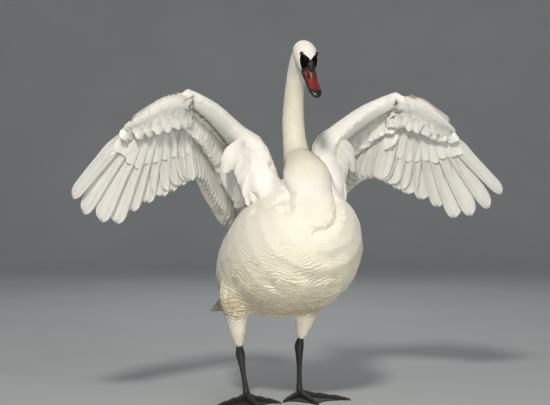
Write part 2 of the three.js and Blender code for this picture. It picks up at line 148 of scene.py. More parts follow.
# ---------------------------------------------------------------- materials
class Shader:
    """A material with one Principled shader and short ways to add nodes to it."""

    def __init__(self, name, **sockets):
        self.material = bpy.data.materials.new(name)
        self.material.use_nodes = True
        self.tree = self.material.node_tree
        self.tree.nodes.clear()
        self.out = self.tree.nodes.new("ShaderNodeOutputMaterial")
        self.surface = self.add("ShaderNodeBsdfPrincipled", **sockets)
        self.tree.links.new(self.surface.outputs[0], self.out.inputs["Surface"])

    def put(self, socket, value):
        if isinstance(value, bpy.types.NodeSocket):
            self.tree.links.new(value, socket)
        elif isinstance(value, tuple) and len(value) == 3 and socket.type == "RGBA":
            socket.default_value = (*value, 1)
        else:
            socket.default_value = value

    def add(self, kind, settings=(), **sockets):
        node = self.tree.nodes.new(kind)
        for key, value in dict(settings).items():
            setattr(node, key, value)
        for key, value in sockets.items():
            names = [s for s in node.inputs if s.name == key.replace("_", " ")]
            self.put(names[0] if names else node.inputs[int(key[1:])], value)
        return node

    def math(self, operation, a, b=0.0, c=0.0, clamp=False):
        node = self.add("ShaderNodeMath", {"operation": operation, "use_clamp": clamp}, _0=a, _1=b, _2=c)
        return node.outputs[0]

    def blend(self, factor, a, b, kind="MIX"):
        node = self.tree.nodes.new("ShaderNodeMix")
        node.data_type, node.blend_type = "RGBA", kind
        for socket, value in zip((node.inputs[0], node.inputs[6], node.inputs[7]), (factor, a, b)):
            self.put(socket, value)
        return node.outputs[2]

    def span(self, value, low, high, to_low=0.0, to_high=1.0):
        node = self.tree.nodes.new("ShaderNodeMapRange")
        for k, v in enumerate((value, low, high, to_low, to_high)):
            self.put(node.inputs[k], v)
        node.interpolation_type = "SMOOTHSTEP"
        return node.outputs[0]

    def coords(self, kind="Object", scale=(1, 1, 1)):
        place = self.add("ShaderNodeTexCoord").outputs[kind]
        return self.add("ShaderNodeMapping", Vector=place, Scale=scale).outputs[0]

    def noise(self, vector, scale, detail=3.0, roughness=0.55):
        node = self.add("ShaderNodeTexNoise", Vector=vector, Scale=scale, Detail=detail, Roughness=roughness)
        return node.outputs["Fac"]

    def value(self, name):
        return self.add("ShaderNodeAttribute", {"attribute_name": name}).outputs["Fac"]

    def dot(self, vector, axis):
        node = self.add("ShaderNodeVectorMath", {"operation": "DOT_PRODUCT"}, _0=vector, _1=axis)
        return node.outputs["Value"]

    def bump(self, height, distance, strength=1.0, normal=None):
        node = self.add("ShaderNodeBump", Height=height, Distance=distance, Strength=strength)
        if normal is not None:
            self.put(node.inputs["Normal"], normal)
        return node.outputs[0]

    def use(self, **sockets):
        for key, value in sockets.items():
            self.put(self.surface.inputs[key.replace("_", " ")], value)
        return self.material


# STAIN_AND_SHADE is the belly's real stain, darkened further as painted shade for the underside that faces away from
# the light.
WHITE, CREAM, STAIN_AND_SHADE = (0.90, 0.878, 0.82), (0.84, 0.765, 0.585), (0.50, 0.415, 0.255)


def plumage_tint(s):
    """White to cream to a stain that is partly painted shade, by the `tint` value, with each feather's own `shade`."""
    tint, shade = s.value("tint"), s.value("shade")
    color = s.blend(s.span(tint, 0.0, 0.5), WHITE, CREAM)
    color = s.blend(s.span(tint, 0.5, 1.0), color, STAIN_AND_SHADE)
    return s.blend(s.math("MULTIPLY", shade, 0.07), color, (0.62, 0.55, 0.43))


def waves(s):
    """Soft level ripples over the belly and flanks, fading out towards the breast."""
    place = s.coords()
    level = s.math("ADD", s.dot(place, (-0.30, -0.55, 1.0)), s.math("MULTIPLY", s.noise(place, 11.0, 4.0), 0.105))
    wave = s.math("SINE", s.math("MULTIPLY", level, math.tau / WAVE))
    patchy = s.span(s.noise(s.coords(scale=(1, 1, 2.5)), 17.0), 0.40, 0.68, 0.05, 1.0)
    z, across = s.dot(place, (0, 0, 1)), s.math("ABSOLUTE", s.dot(place, (1, 0, 0)))
    patchy = s.math("MAXIMUM", patchy, s.span(z, 0.37, 0.30, 0.0, 0.9))
    low = s.math("MULTIPLY", s.span(z, 0.52, 0.30, 0.10, 1.0), s.span(z, 0.222, 0.25))
    return s.math("MULTIPLY", s.math("MULTIPLY", wave, patchy), s.math("MULTIPLY", low, s.span(across, 0.26, 0.21)))


WAVE = 0.013  # metres from ripple to ripple


def feather_material(name, barbs, depth, along, dark=0.3, ripples=False):
    """Feather vanes: barbs slanting out from the shaft, with painted shade darkening the covered root."""
    s = Shader(name, Roughness=0.78, Sheen_Weight=0.2, Sheen_Roughness=0.5)
    s.use(Subsurface_Weight=0.12, Subsurface_Radius=(0.9, 0.7, 0.5), Subsurface_Scale=0.006)
    uv = s.add("ShaderNodeUVMap", {"uv_map": "Vane"}).outputs[0]
    parts = s.add("ShaderNodeSeparateXYZ", Vector=uv)
    across = s.math("ABSOLUTE", s.math("SUBTRACT", parts.outputs[0], 0.5))
    slant = s.math("SUBTRACT", parts.outputs[1], s.math("MULTIPLY", across, 0.55))
    wobble = s.noise(s.coords(scale=(1, 1, 1)), 90.0)
    ridges = s.math("SINE", s.math("ADD", s.math("MULTIPLY", slant, barbs), s.math("MULTIPLY", wobble, 9.0)))
    clumps = s.noise(s.add("ShaderNodeCombineXYZ", X=s.math("MULTIPLY", slant, barbs * 0.11), Y=s.value("shade")).outputs[0], 3.0)
    height = s.math("ADD", s.math("MULTIPLY", ridges, 0.35), clumps)
    s.use(Normal=s.bump(height, depth, normal=s.bump(waves(s), 0.0019) if ripples else None))
    color = plumage_tint(s)
    # Painted shade: each vane darkens towards its root, where the next feathers cover it. On stained plumage the
    # darkening is deeper, partly grime and partly painted shade in the creases.
    covered = s.span(parts.outputs[1], 0.0, along, 1.0, 0.0)
    root_shade_and_grime = s.math("ADD", dark, s.span(s.value("tint"), 0.3, 0.9, 0.0, 0.55))
    color = s.blend(s.math("MULTIPLY", covered, root_shade_and_grime), color, (0.42, 0.36, 0.26))
    mottle = s.span(s.noise(s.coords(), 26.0), 0.35, 0.75)
    color = s.blend(s.math("MULTIPLY", mottle, 0.12), color, (0.66, 0.60, 0.50))
    return s.use(Base_Color=color)


DOWN = feather_material("plumage_contour", 190.0, 0.00005, 0.4, 0.02, ripples=True)
COVERTS = feather_material("plumage_coverts", 90.0, 0.0005, 0.5)
QUILLS = feather_material("plumage_flight", 240.0, 0.0009, 0.2)


def skin_material():
    """Down between the feathers, with the bare black skin in front of the eyes."""
    s = Shader("swan_skin")
    place = s.add("ShaderNodeTexCoord").outputs["Object"]
    moved = s.add("ShaderNodeVectorMath", {"operation": "SUBTRACT"}, _0=place, _1=tuple(EYES)).outputs[0]
    f, u = (s.math("MULTIPLY", s.dot(moved, tuple(axis)), 1000.0) for axis in (FORWARD, CROWN))
    x = s.math("MULTIPLY", s.math("ABSOLUTE", s.dot(moved, (1, 0, 0))), 1000.0)
    bare = s.span(bare_depth(x, f, u, s), -0.6, 0.6)
    color = s.blend(bare, plumage_tint(s), (0.002, 0.0018, 0.0018))
    s.use(Base_Color=color, Roughness=s.span(bare, 0.0, 1.0, 0.8, 0.4), Sheen_Weight=s.span(bare, 0.0, 1.0, 0.15, 0.0))
    s.use(Specular_IOR_Level=s.span(bare, 0.0, 1.0, 0.5, 0.06))
    grain = s.noise(s.coords(), 420.0)
    return s.use(Normal=s.bump(grain, 0.0003))


# The bare skin in front of the eyes lies where this is above nought, in millimetres of the head frame.
LORE_TOP, LORE_SLOPE, LORE_LOW, LORE_BACK, CHIN, BEAK_END = 24.0, 1.06, 0.92, -1.0, 58.0, 60.0


def bare_depth(x, f, u, s=None):
    if s is None:
        top = f - (LORE_TOP - LORE_SLOPE * np.abs(x))
        face = np.minimum(top, f + LORE_LOW * u + LORE_BACK)
        return np.minimum(face, np.minimum(u + CHIN, BEAK_END - f))
    top = s.math("SUBTRACT", f, s.math("MULTIPLY_ADD", x, -LORE_SLOPE, LORE_TOP))
    face = s.math("MINIMUM", top, s.math("ADD", s.math("MULTIPLY_ADD", u, LORE_LOW, f), LORE_BACK))
    return s.math("MINIMUM", face, s.math("MINIMUM", s.math("ADD", u, CHIN), s.math("SUBTRACT", BEAK_END, f)))


# ---------------------------------------------------------------- camera, floor and light
CAMERA_AT = (spot(-1469, -3935, 720)[0], spot(-1469, -3935, 720)[1], 0.720)
HEADING, TILT, LENS = math.radians(-20.0), math.radians(88.07), 94.8
camera = bpy.data.objects.new("camera", bpy.data.cameras.new("camera"))
camera.data.lens, camera.data.sensor_width = LENS, 36.0
camera.location, camera.rotation_euler = CAMERA_AT, (TILT, 0, HEADING)
bpy.context.scene.collection.objects.link(camera)
bpy.context.scene.camera = camera


def area_light(name, place, aim, size, watts, color=(1, 1, 1)):
    light = bpy.data.objects.new(name, bpy.data.lights.new(name, "AREA"))
    light.data.shape, light.data.size, light.data.energy, light.data.color = "DISK", size, watts, color
    light.location = place
    light.rotation_euler = (Vector(aim) - Vector(place)).to_track_quat("-Z", "Y").to_euler()
    bpy.context.scene.collection.objects.link(light)


area_light("key", (-1.9, -3.7, 3.9), (0, 0, 0.6), 0.7, 186, (1.0, 0.965, 0.90))
area_light("fill", (-0.6, -4.4, 0.7), (0, 0, 0.45), 2.0, 30, (1.0, 0.97, 0.92))
area_light("spark", (1.7, -3.2, 2.7), (0, 0, 0.9), 0.25, 10)
area_light("rim", (1.2, 3.0, 2.6), (0, 0, 0.7), 2.0, 26)
low = bpy.data.objects.new("low", bpy.data.lights.new("low", "SPOT"))
low.data.energy, low.data.spot_size, low.data.spot_blend, low.data.color = 360, math.radians(13), 1.0, (1.0, 0.97, 0.91)
low.data.shadow_soft_size = 0.3
low.location = (-0.9, -4.0, 0.35)
low.rotation_euler = (Vector((0.0, 0, 0.21)) - low.location).to_track_quat("-Z", "Y").to_euler()
bpy.context.scene.collection.objects.link(low)
world = bpy.data.worlds.new("studio")
world.use_nodes = True
world.node_tree.nodes["Background"].inputs[0].default_value = (0.64, 0.65, 0.66, 1)
world.node_tree.nodes["Background"].inputs[1].default_value = 0.36
bpy.context.scene.world = world
bpy.context.scene.view_settings.view_transform = "Standard"

# A studio sweep: floor, then a wide curve up into a wall.
SWEEP_HALF, SWEEP_NEAR, SWEEP_FAR, SWEEP_RADIUS, SWEEP_TOP = 16.0, -9.0, 4.5, 3.5, 11.0
s = Shader("floor", Roughness=0.8)
tone = s.span(s.noise(s.coords(), 1.5), 0.2, 0.8)
s.use(Base_Color=s.blend(tone, (0.40, 0.42, 0.43), (0.43, 0.45, 0.46)))
bend = [(SWEEP_FAR + SWEEP_RADIUS * math.sin(a), SWEEP_RADIUS * (1 - math.cos(a))) for a in np.linspace(0, math.pi / 2, 25)]
line = [(SWEEP_NEAR, 0.0), *bend, (SWEEP_FAR + SWEEP_RADIUS, SWEEP_TOP)]
turn = np.array([math.cos(HEADING), math.sin(HEADING)])  # the sweep squares up to the camera
away = np.array([-math.sin(HEADING), math.cos(HEADING)])
points = [(*(turn * e + away * d), z) for d, z in line for e in (-SWEEP_HALF, SWEEP_HALF)]
mesh = bpy.data.meshes.new("floor")
mesh.from_pydata(points, [], grid_faces(len(line), 2)[:, ::-1].tolist())
for polygon in mesh.polygons:
    polygon.use_smooth = True
mesh.materials.append(s.material)
floor = bpy.data.objects.new("floor", mesh)
bpy.context.scene.collection.objects.link(floor)

# ---------------------------------------------------------------- wing landmarks
LEADING = spot((98, -146, 600), (106, -84, 700), (154, -48, 772), (240, -68, 845), (331, -86, 891))
BONES = spot((92, -24, 610), (122, 24, 728), (166, 36, 764), (242, -8, 822), (329, -54, 869))
COVERT_EDGE = spot((88, 84, 560), (144, 100, 640), (196, 76, 706), (256, 28, 758), (318, -30, 808))
HAND_LEADING = spot((331, -86, 891), (392, -80, 878), (446, -76, 840), (500, -66, 798))
HAND_COVERTS = spot((318, -30, 808), (378, -52, 784), (440, -54, 774), (494, -58, 776))
PRIMARY_TIPS = spot(
    (648, -94, 600), (614, -74, 557), (562, -60, 535), (516, -44, 530), (469, -28, 563),
    (421, -14, 586), (376, -8, 603), (347, -4, 617), (318, -2, 633), (290, 4, 646),
)
SECONDARY_TIPS = spot((292, 10, 650), (240, 56, 646), (196, 108, 598), (158, 140, 556))
TERTIAL_TIPS = spot((154, 146, 548), (124, 172, 512), (96, 184, 488))
ARM_THICK = np.array([112, 92, 72, 62, 50]) * MM
HAND_THICK = np.array([50, 43, 35, 24]) * MM


def wing_base(s, c):
    """The wing's middle surface: s 0 shoulder, 1 wrist, 2 finger tip; c 0 leading edge, 1 ends of the flesh."""
    s, c = np.broadcast_arrays(np.asarray(s, float), np.asarray(c, float))
    arm = (s <= 1)[..., None]
    h = np.clip(s - 1, 0, 1)
    a = np.where(arm, smooth_row(LEADING, s), smooth_row(HAND_LEADING, h))
    d = np.where(arm, smooth_row(COVERT_EDGE, s), smooth_row(HAND_COVERTS, h))
    bent = np.where(arm, smooth_row(BONES, s), (a + d) / 2)
    b = 2 * bent - (a + d) / 2
    c = c[..., None]
    return (1 - c) ** 2 * a + 2 * (1 - c) * c * b + c * c * d


def feather_tip(s):
    """Where the flight feather that leaves the wing at s ends."""
    s = np.asarray(s, float)
    outer = smooth_row(PRIMARY_TIPS, np.clip(((0.97 - (s - 1)) / 0.96 * 10 - 0.5) / 9, 0, 1))
    middle = smooth_row(SECONDARY_TIPS, np.clip(((1 - s) / 0.5 * 9 - 0.5) / 8, 0, 1))
    inner = smooth_row(TERTIAL_TIPS, np.clip(((0.49 - s) / 0.21 * 4 - 0.5) / 3, 0, 1))
    return np.where((s > 1)[..., None], outer, np.where((s > 0.495)[..., None], middle, inner))


BOW = 0.04


def wing_point(s, r):
    """The wing's surface out to the feather tips: r 1 ends of the flesh, 2 tips."""
    s, r = np.broadcast_arrays(np.asarray(s, float), np.asarray(r, float))
    past = np.clip(s - 2, 0, 1)[..., None]
    s0 = np.clip(s, 0, 2)
    flesh = wing_base(s0, np.clip(r, 0, 1))
    root, tip = wing_base(s0, np.ones_like(s0)), feather_tip(s0)
    q = np.clip(r - 1, 0, None)[..., None]
    vane = root + (tip - root) * q
    way = unit(tip - root)
    inward = unit(wing_base(np.clip(s0 - 0.03, 0, 2), 1.0) - wing_base(np.clip(s0 + 0.03, 0, 2), 1.0))
    rise = np.linalg.norm(tip - root, axis=-1, keepdims=True) * BOW * np.sin(np.pi * np.clip(q, 0, 1))
    vane = vane + unit(np.cross(way, inward)) * rise
    p = np.where((r > 1)[..., None], vane, flesh)
    return p + past * (wing_base(2.0, 0.5) - wing_base(1.9, 0.5)) * 10


def wing_axes(s, r):
    """Unit vectors out along the wing and back along the chord, and the normal on the upper (rear) side."""
    e = 0.02
    out = wing_point(s + e, r) - wing_point(s - e, r)
    back = wing_point(s, r + e) - wing_point(s, r - np.where(np.asarray(r) > 1, 0.5, 1) * e)
    return unit(out), unit(back), unit(np.cross(out, back))


def wing_half(s, r, face=1):
    """Half the wing's thickness, hollowed on the under side behind the roll of the leading edge."""
    thick = np.where(s <= 1, smooth_row(ARM_THICK, s), smooth_row(HAND_THICK, np.clip(s - 1, 0, 1))) / 2
    c = np.clip(r, 0, 1)
    front = np.sqrt(np.clip(1 - (1 - c / 0.3) ** 2, 0, 1))
    back = mix(1, 0.14, (np.clip(c - 0.3, 0, 1) / 0.7) ** 0.9)
    half = thick * np.where(c < 0.3, front, back) * np.where(r > 1, np.clip(1.3 - r, 0.0, 1), 1)
    return half - np.where(np.asarray(face) < 0, hollow(s, r), 0)


def hollow(s, r):
    """How deep the under side is sunk between the roll and the ends of the flesh."""
    return 0.010 * step(0.40, 0.48, r) * step(0.86, 0.66, r) * step(0.12, 0.3, s) * step(1.12, 0.98, s)


def wing_places(points):
    """s and c of the nearest place on the wing's flesh, and which face: +1 upper, -1 under."""
    s, c = (v.ravel() for v in np.mgrid[0:2:161j, 0:1:41j])
    up = wing_axes(s, c)[2]
    tree = KDTree(2 * len(s))
    for k, face in enumerate((1, -1)):
        for i, place in enumerate((wing_point(s, c) + up * (face * wing_half(s, c, face))[:, None]).tolist()):
            tree.insert(place, i + k * len(s))
    tree.balance()
    found = np.array([tree.find((abs(x), y, z))[1] for x, y, z in points.tolist()])
    return s[found % len(s)], c[found % len(s)], np.where(found < len(s), 1, -1)


def way_out(s, c):
    """The way coverts point on the left wing: back, turning to the flight feathers, outwards at the edge."""
    out, back, _ = wing_axes(s, c)
    tip = unit(feather_tip(np.clip(s, 0.28, 1.97)) - wing_base(np.clip(s, 0, 2), 1.0))
    way = mix(back, tip, step(0.1, 0.8, c)[:, None] * 0.75)
    return unit(mix(way, out, 0.5 * step(0.30, 0.0, c)[:, None]))


# ---------------------------------------------------------------- skin
TRUNK_AND_NECK = ["trunk", "neck_lower", "neck_middle"]
FLESH = [*TRUNK_AND_NECK, "neck_upper", "head", "tail_base"]
FLESH += [f"{part}_{side}" for side in SIDES for part in ("thigh", "wing_upper_arm", "wing_forearm", "wing_hand")]
VOXEL = 0.0042
CLOSE_GAPS = 0.0006


def joined_nodes(names, grow=0.0):
    whole = bmesh.new()
    for name in names:
        part = bmesh.new()
        part.from_mesh(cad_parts[name].data)
        bmesh.ops.remove_doubles(part, verts=part.verts, dist=1e-5)
        part.normal_update()
        for v in part.verts:
            v.co += v.normal * grow
        mesh = bpy.data.meshes.new("part")
        part.to_mesh(mesh)
        whole.from_mesh(mesh)
        bpy.data.meshes.remove(mesh)
        part.free()
    return whole


def arrays(mesh):
    co = np.empty(len(mesh.vertices) * 3)
    mesh.vertices.foreach_get("co", co)
    edges = np.empty(len(mesh.edges) * 2, int)
    mesh.edges.foreach_get("vertices", edges)
    return co.reshape(-1, 3), edges.reshape(-1, 2)


def relaxed(co, edges, rounds, amount, back=0.0):
    """Laplacian smoothing; `back` pushes out again so that thin parts keep their size."""
    count = np.bincount(edges.ravel(), minlength=len(co))[:, None]
    for k in range(rounds):
        for share in (amount, -back) if back else (amount,):
            total = np.stack([
                np.bincount(edges[:, 0], co[edges[:, 1], i], len(co)) + np.bincount(edges[:, 1], co[edges[:, 0], i], len(co))
                for i in range(3)], 1)
            co = co + share * (total / np.maximum(count, 1) - co)
    return co


def point_normals(mesh):
    normals = np.empty(len(mesh.vertices) * 3)
    mesh.vertices.foreach_get("normal", normals)
    return unit(normals.reshape(-1, 3))


def tree_of(names):
    whole = joined_nodes(names)
    tree = BVHTree.FromBMesh(whole)
    whole.free()
    return tree


def distances(tree, points):
    return np.array([tree.find_nearest(p)[3] for p in points.tolist()])


def along_line(points, line):
    """Distance from a polyline."""
    best = np.full(len(points), np.inf)
    for a, b in zip(line[:-1], line[1:]):
        t = np.clip((points - a) @ (b - a) / max((b - a) @ (b - a), 1e-12), 0, 1)
        best = np.minimum(best, np.linalg.norm(points - a - t[:, None] * (b - a), axis=1))
    return best


# Folds of the plumage: a line, how wide, and how far it sinks (negative rises), in millimetres.
FLANK_FOLD = [(-215, -10, 330), (-190, 4, 282), (-168, 0, 266), (-146, -24, 288), (-130, -50, 318)]
FOLDS = [
    ([(92, -210, 650), (72, -245, 604), (50, -262, 548), (20, -272, 514), (-20, -272, 503)], 11, 13.0),
    ([(24, -250, 630), (26, -268, 570)], 42, -7.0),
    ([(-60, -90, 690), (-50, -125, 652), (-46, -160, 615), (-54, -180, 580), (-58, -200, 540)], 12, 14.0),
    ([(-56, -180, 590), (-84, -186, 574), (-124, -165, 566), (-150, -130, 570)], 14, 8.0),
    (FLANK_FOLD, 9, 3.0),
    ([(-40, -268, 470), (10, -262, 440), (60, -256, 452)], 22, 3.5),
    ([(-90, -236, 420), (-20, -232, 388), (50, -226, 396)], 18, 3.5),
    ([(-120, -180, 360), (-60, -176, 330), (0, -170, 326)], 14, 3.5),
    ([(150, -40, 300), (120, -60, 290), (80, -60, 268)], 12, 4.0),
]


# Junctions that the plumage rounds over: place, reach in millimetres, rounds of smoothing.
SOFTENED = [((0, -190, 612), 150, 50), ((110, -110, 600), 110, 30), ((331, -80, 880), 45, 24), ((150, 25, 300), 115, 60), ((0, 300, 320), 120, 30)]


def coat_depth(points):
    """How far the skin lies inside the solids, in metres: most on the body, least on the head and wings."""
    x, f, u = head_frame(points)
    from_head = np.linalg.norm(points - on_head(0, -15, -18), axis=1)
    depth = mix(1.0, 3.0, step(0.04, 0.09, from_head))
    depth = mix(depth, 6.5, step(0.66, 0.58, points[:, 2]) * step(0.75, 0.62, points[:, 2]))
    return depth * MM


def build_skin():
    source = bpy.data.meshes.new("skin_source")
    whole = joined_nodes(FLESH, CLOSE_GAPS)
    whole.to_mesh(source)
    whole.free()
    holder = bpy.data.objects.new("skin_source", source)
    bpy.context.scene.collection.objects.link(holder)
    remesh = holder.modifiers.new("voxels", "REMESH")
    remesh.mode, remesh.voxel_size = "VOXEL", VOXEL
    graph = bpy.context.evaluated_depsgraph_get()
    mesh = bpy.data.meshes.new_from_object(holder.evaluated_get(graph))
    bpy.data.objects.remove(holder)
    work = bmesh.new()
    work.from_mesh(mesh)
    seen, best = set(), []
    for v in work.verts:  # only the outer shell is kept
        if v.index in seen:
            continue
        shell, queue = [], [v]
        seen.add(v.index)
        while queue:
            w = queue.pop()
            shell.append(w)
            for e in w.link_edges:
                o = e.other_vert(w)
                if o.index not in seen:
                    seen.add(o.index)
                    queue.append(o)
        if len(shell) > len(best):
            best = shell
    keep = set(v.index for v in best)
    bmesh.ops.delete(work, geom=[v for v in work.verts if v.index not in keep], context="VERTS")
    near_head = [e for e in work.edges if (e.verts[0].co - Vector(on_head(0, -10, -20))).length < 0.062]
    bmesh.ops.subdivide_edges(work, edges=near_head, cuts=1, use_grid_fill=True)
    work.to_mesh(mesh)
    work.free()
    co, edges = arrays(mesh)
    co = relaxed(co, edges, 9, 0.6, 0.55)
    for place, reach, rounds in SOFTENED:
        for side in (1, -1) if place[0] else (1,):
            gap = np.linalg.norm(co - spot((place[0] * side, *place[1:]))[0], axis=1) / (reach * MM)
            co = mix(co, relaxed(co, edges, rounds, 0.6), step(1.0, 0.55, gap)[:, None])
    mesh.vertices.foreach_set("co", co.ravel())
    mesh.update()
    normals = point_normals(mesh)
    sink = coat_depth(co)
    wing = step(0.02, 0.06, distances(tree_of(TRUNK_AND_NECK), co))
    s, c, face = wing_places(co)
    sink = sink + wing * np.where(face < 0, hollow(s, c), 0)
    surface = KDTree(len(co))
    for i, place in enumerate(co.tolist()):
        surface.insert(place, i)
    surface.balance()
    for line, width, depth in FOLDS:
        line = smooth_row(spot(*line), np.linspace(0, 1, 6 * len(line)))
        line = np.array([tuple(surface.find(place)[0]) for place in line.tolist()])
        sink = sink + depth * MM * np.exp(-((along_line(co, line) / (width * MM)) ** 2))
    x, f, u = head_frame(co)
    for side in SIDES.values():  # eye sockets
        d = np.sqrt((x - side * 25) ** 2 + f**2 + u**2)
        sink = sink + 0.3 * MM * np.exp(-((d / 9) ** 2))
    co = relaxed(co - normals * sink[:, None], edges, 3, 0.5, 0.3)
    mesh.vertices.foreach_set("co", co.ravel())
    mesh.update()
    mesh.materials.clear()
    mesh.materials.append(skin_material())
    mesh.polygons.foreach_set("use_smooth", np.ones(len(mesh.polygons), bool))
    piece = bpy.data.objects.new("skin", mesh)
    bpy.context.scene.collection.objects.link(piece)
    bpy.context.view_layer.objects.active = piece
    piece.select_set(True)
    bpy.ops.object.mode_set(mode="EDIT")
    bpy.ops.mesh.select_all(action="SELECT")
    bpy.ops.uv.smart_project(angle_limit=math.radians(66), island_margin=0.002)
    bpy.ops.object.mode_set(mode="OBJECT")
    piece.select_set(False)
    mesh.uv_layers[0].name = "OFBake"
    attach(piece, "root")
    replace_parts(piece, *FLESH)
    return piece


def tint_at(points):
    """How stained the plumage is: the neck and breast cream, the belly and rump most, the wings white. The growth
    towards the bottom of the body is partly real staining and partly painted shade; the thighs are kept light.
    """
    x, y, z = points.T
    inner = step(0.26, 0.17, np.abs(x))
    # Partly painted shade: the body's tint steps up towards the bottom, where the belly faces down.
    body = 0.24 * step(0.68, 0.56, z) + 0.36 * step(0.52, 0.33, z) + 0.36 * step(0.36, 0.23, z)
    neck = 0.30 * step(0.62, 0.70, z) * step(0.07, 0.05, np.abs(x)) * step(0.98, 0.9, z)
    crown = 0.16 * step(0.94, 1.0, z) * step(0.07, 0.05, np.abs(x))
    wave = 0.06 * np.sin(31 * x + 17 * y) * np.sin(23 * z + 11 * x)
    legs = step(0.27, 0.24, z) * step(0.25, 0.1, y) * 0.66
    return np.clip(0.03 + body * inner + neck + crown + wave * inner * (0.4 + step(0.5, 0.35, z)) - legs, 0, 1)


skin = build_skin()
skin_co, skin_edges = arrays(skin.data)
skin_normals = point_normals(skin.data)
SKIN = BVHTree.FromPolygons(skin_co.tolist(), [tuple(p.vertices) for p in skin.data.polygons])
loop_vertices = np.empty(len(skin.data.loops), int)
skin.data.loops.foreach_get("vertex_index", loop_vertices)
loop_totals = np.empty(len(skin.data.polygons), int)
skin.data.polygons.foreach_get("loop_total", loop_totals)
loop_face = np.repeat(np.arange(len(loop_totals)), loop_totals)
skin_uv = np.empty(len(skin.data.loops) * 2)
skin.data.uv_layers[0].uv.foreach_get("vector", skin_uv)
skin_uv = skin_uv.reshape(-1, 2)


def per_face(corner_values):
    return np.stack([np.bincount(loop_face, v, len(loop_totals)) for v in corner_values.T], 1) / loop_totals[:, None]


face_uv, face_normal, face_centre = (per_face(v) for v in (skin_uv, skin_normals[loop_vertices], skin_co[loop_vertices]))
face_normal = unit(face_normal)
face_area = np.empty(len(loop_totals))
skin.data.polygons.foreach_get("area", face_area)
for key, value in (("tint", tint_at(skin_co)), ("shade", np.full(len(skin_co), 0.4))):
    skin.data.attributes.new(key, "FLOAT", "POINT").data.foreach_set("value", value.astype(np.float32))


def on_skin(points):
    """Nearest skin point, its smoothed normal and its face."""
    found = [SKIN.find_nearest(p) for p in points.tolist()]
    faces = np.array([f[2] for f in found])
    return np.array([tuple(f[0]) for f in found]), face_normal[faces], faces


# ---------------------------------------------------------------- vanes
PATCH = 0.003  # size of each vane on the bake's map


class Coat:
    """Gathers grids of vane points that share one template, then makes them one piece."""

    def __init__(self, name, material, rows, columns):
        self.name, self.material, self.rows, self.columns = name, material, rows, columns
        self.parts, self.tints, self.shades, self.roots, self.maps = [], [], [], [], []

    def add(self, grid, face, tint, shade, vane):
        n = len(grid)
        self.parts.append(grid.reshape(n, -1, 3))
        self.tints.append(np.repeat(tint, self.rows * self.columns))
        self.shades.append(np.repeat(shade, self.rows * self.columns))
        flat = np.broadcast_to(vane.reshape(-1, 2), (n, self.rows * self.columns, 2))
        self.maps.append(flat.reshape(-1, 2))
        self.roots.append((face_uv[face][:, None] + (flat - 0.5) * PATCH).reshape(-1, 2))

    def finish(self, slot="plumage"):
        grids = np.concatenate(self.parts)
        faces = grid_faces(self.rows, self.columns)
        every = (faces[None] + (np.arange(len(grids)) * self.rows * self.columns)[:, None, None]).reshape(-1, 4)
        print(self.name, len(grids), "vanes", len(every) * 2, "triangles")
        maps = {"OFBake": np.concatenate(self.roots), "Vane": np.concatenate(self.maps)}
        values = {"tint": np.concatenate(self.tints), "shade": np.concatenate(self.shades)}
        return make_piece(self.name, grids.reshape(-1, 3), every, self.material, slot, maps, values)


def vane_plan(rows, columns, blunt=0.62):
    """Along and across positions of a vane's grid, and its half width along its length."""
    u = np.linspace(0, 1, rows) ** 0.85
    v = np.linspace(-1, 1, columns)
    wide = np.where(u < blunt, 0.38 + 0.62 * np.sin(np.pi / 2 * u / blunt), np.sqrt(np.clip(1 - ((u - blunt) / (1.06 - blunt)) ** 2, 0, 1)))
    return u, v, wide


def vane_grid(centre, side, normal, length, width, plan, crown, ragged):
    """Points of vanes from their centre lines: (vane, row, column, xyz)."""
    u, v, wide = plan
    along = np.gradient(centre, axis=1)
    along = unit(along)
    half = width[:, None] / 2 * wide
    grid = centre[:, :, None] + side[:, :, None] * (half[:, :, None] * v)[..., None]
    grid = grid - normal[:, :, None] * (crown[:, None, None] * half[:, :, None] * v**2)[..., None]
    back = 0.16 * (v**2) * u[:, None] ** 2 * length[:, None, None]
    back = back + ragged * length[:, None, None] * rng.uniform(-1, 1, (len(centre), 1, len(v))) * u[:, None] ** 6
    return grid - along[:, :, None] * back[..., None]


def lay(coat, roots, normals, ways, length, width, lift, sink, crown=0.09, curl=0.0, ragged=0.04, blunt=0.68):
    """Vanes that lie along the skin, their tips standing `lift` over it."""
    plan = vane_plan(coat.rows, coat.columns, blunt)
    u = plan[0]
    centre, side, normal = [], [], []
    p, n, way = roots, normals, ways
    start = None
    for k in range(len(u)):
        if k:
            way = unit(way - n * np.sum(way * n, 1, keepdims=True))
            p, n, face = on_skin(p + way * (length * (u[k] - u[k - 1]))[:, None])
        else:
            p, n, start = on_skin(p)
        way = unit(way - n * np.sum(way * n, 1, keepdims=True))
        rise = lift * u[k] ** 1.3 + curl * length * u[k] ** 4 - sink * (1 - u[k]) ** 2
        centre.append(p + n * rise[:, None])
        normal.append(n)
        side.append(np.cross(n, way))
    centre, side, normal = (np.stack(v, 1) for v in (centre, side, normal))
    vane = np.stack(np.broadcast_arrays(plan[1][None, :] * 0.5 + 0.5, u[:, None]), -1)
    grid = vane_grid(centre, side, normal, length, width, plan, np.broadcast_to(crown, len(roots)), ragged)
    coat.add(grid, start, tint_at(roots), rng.uniform(0, 1, len(roots)), vane)


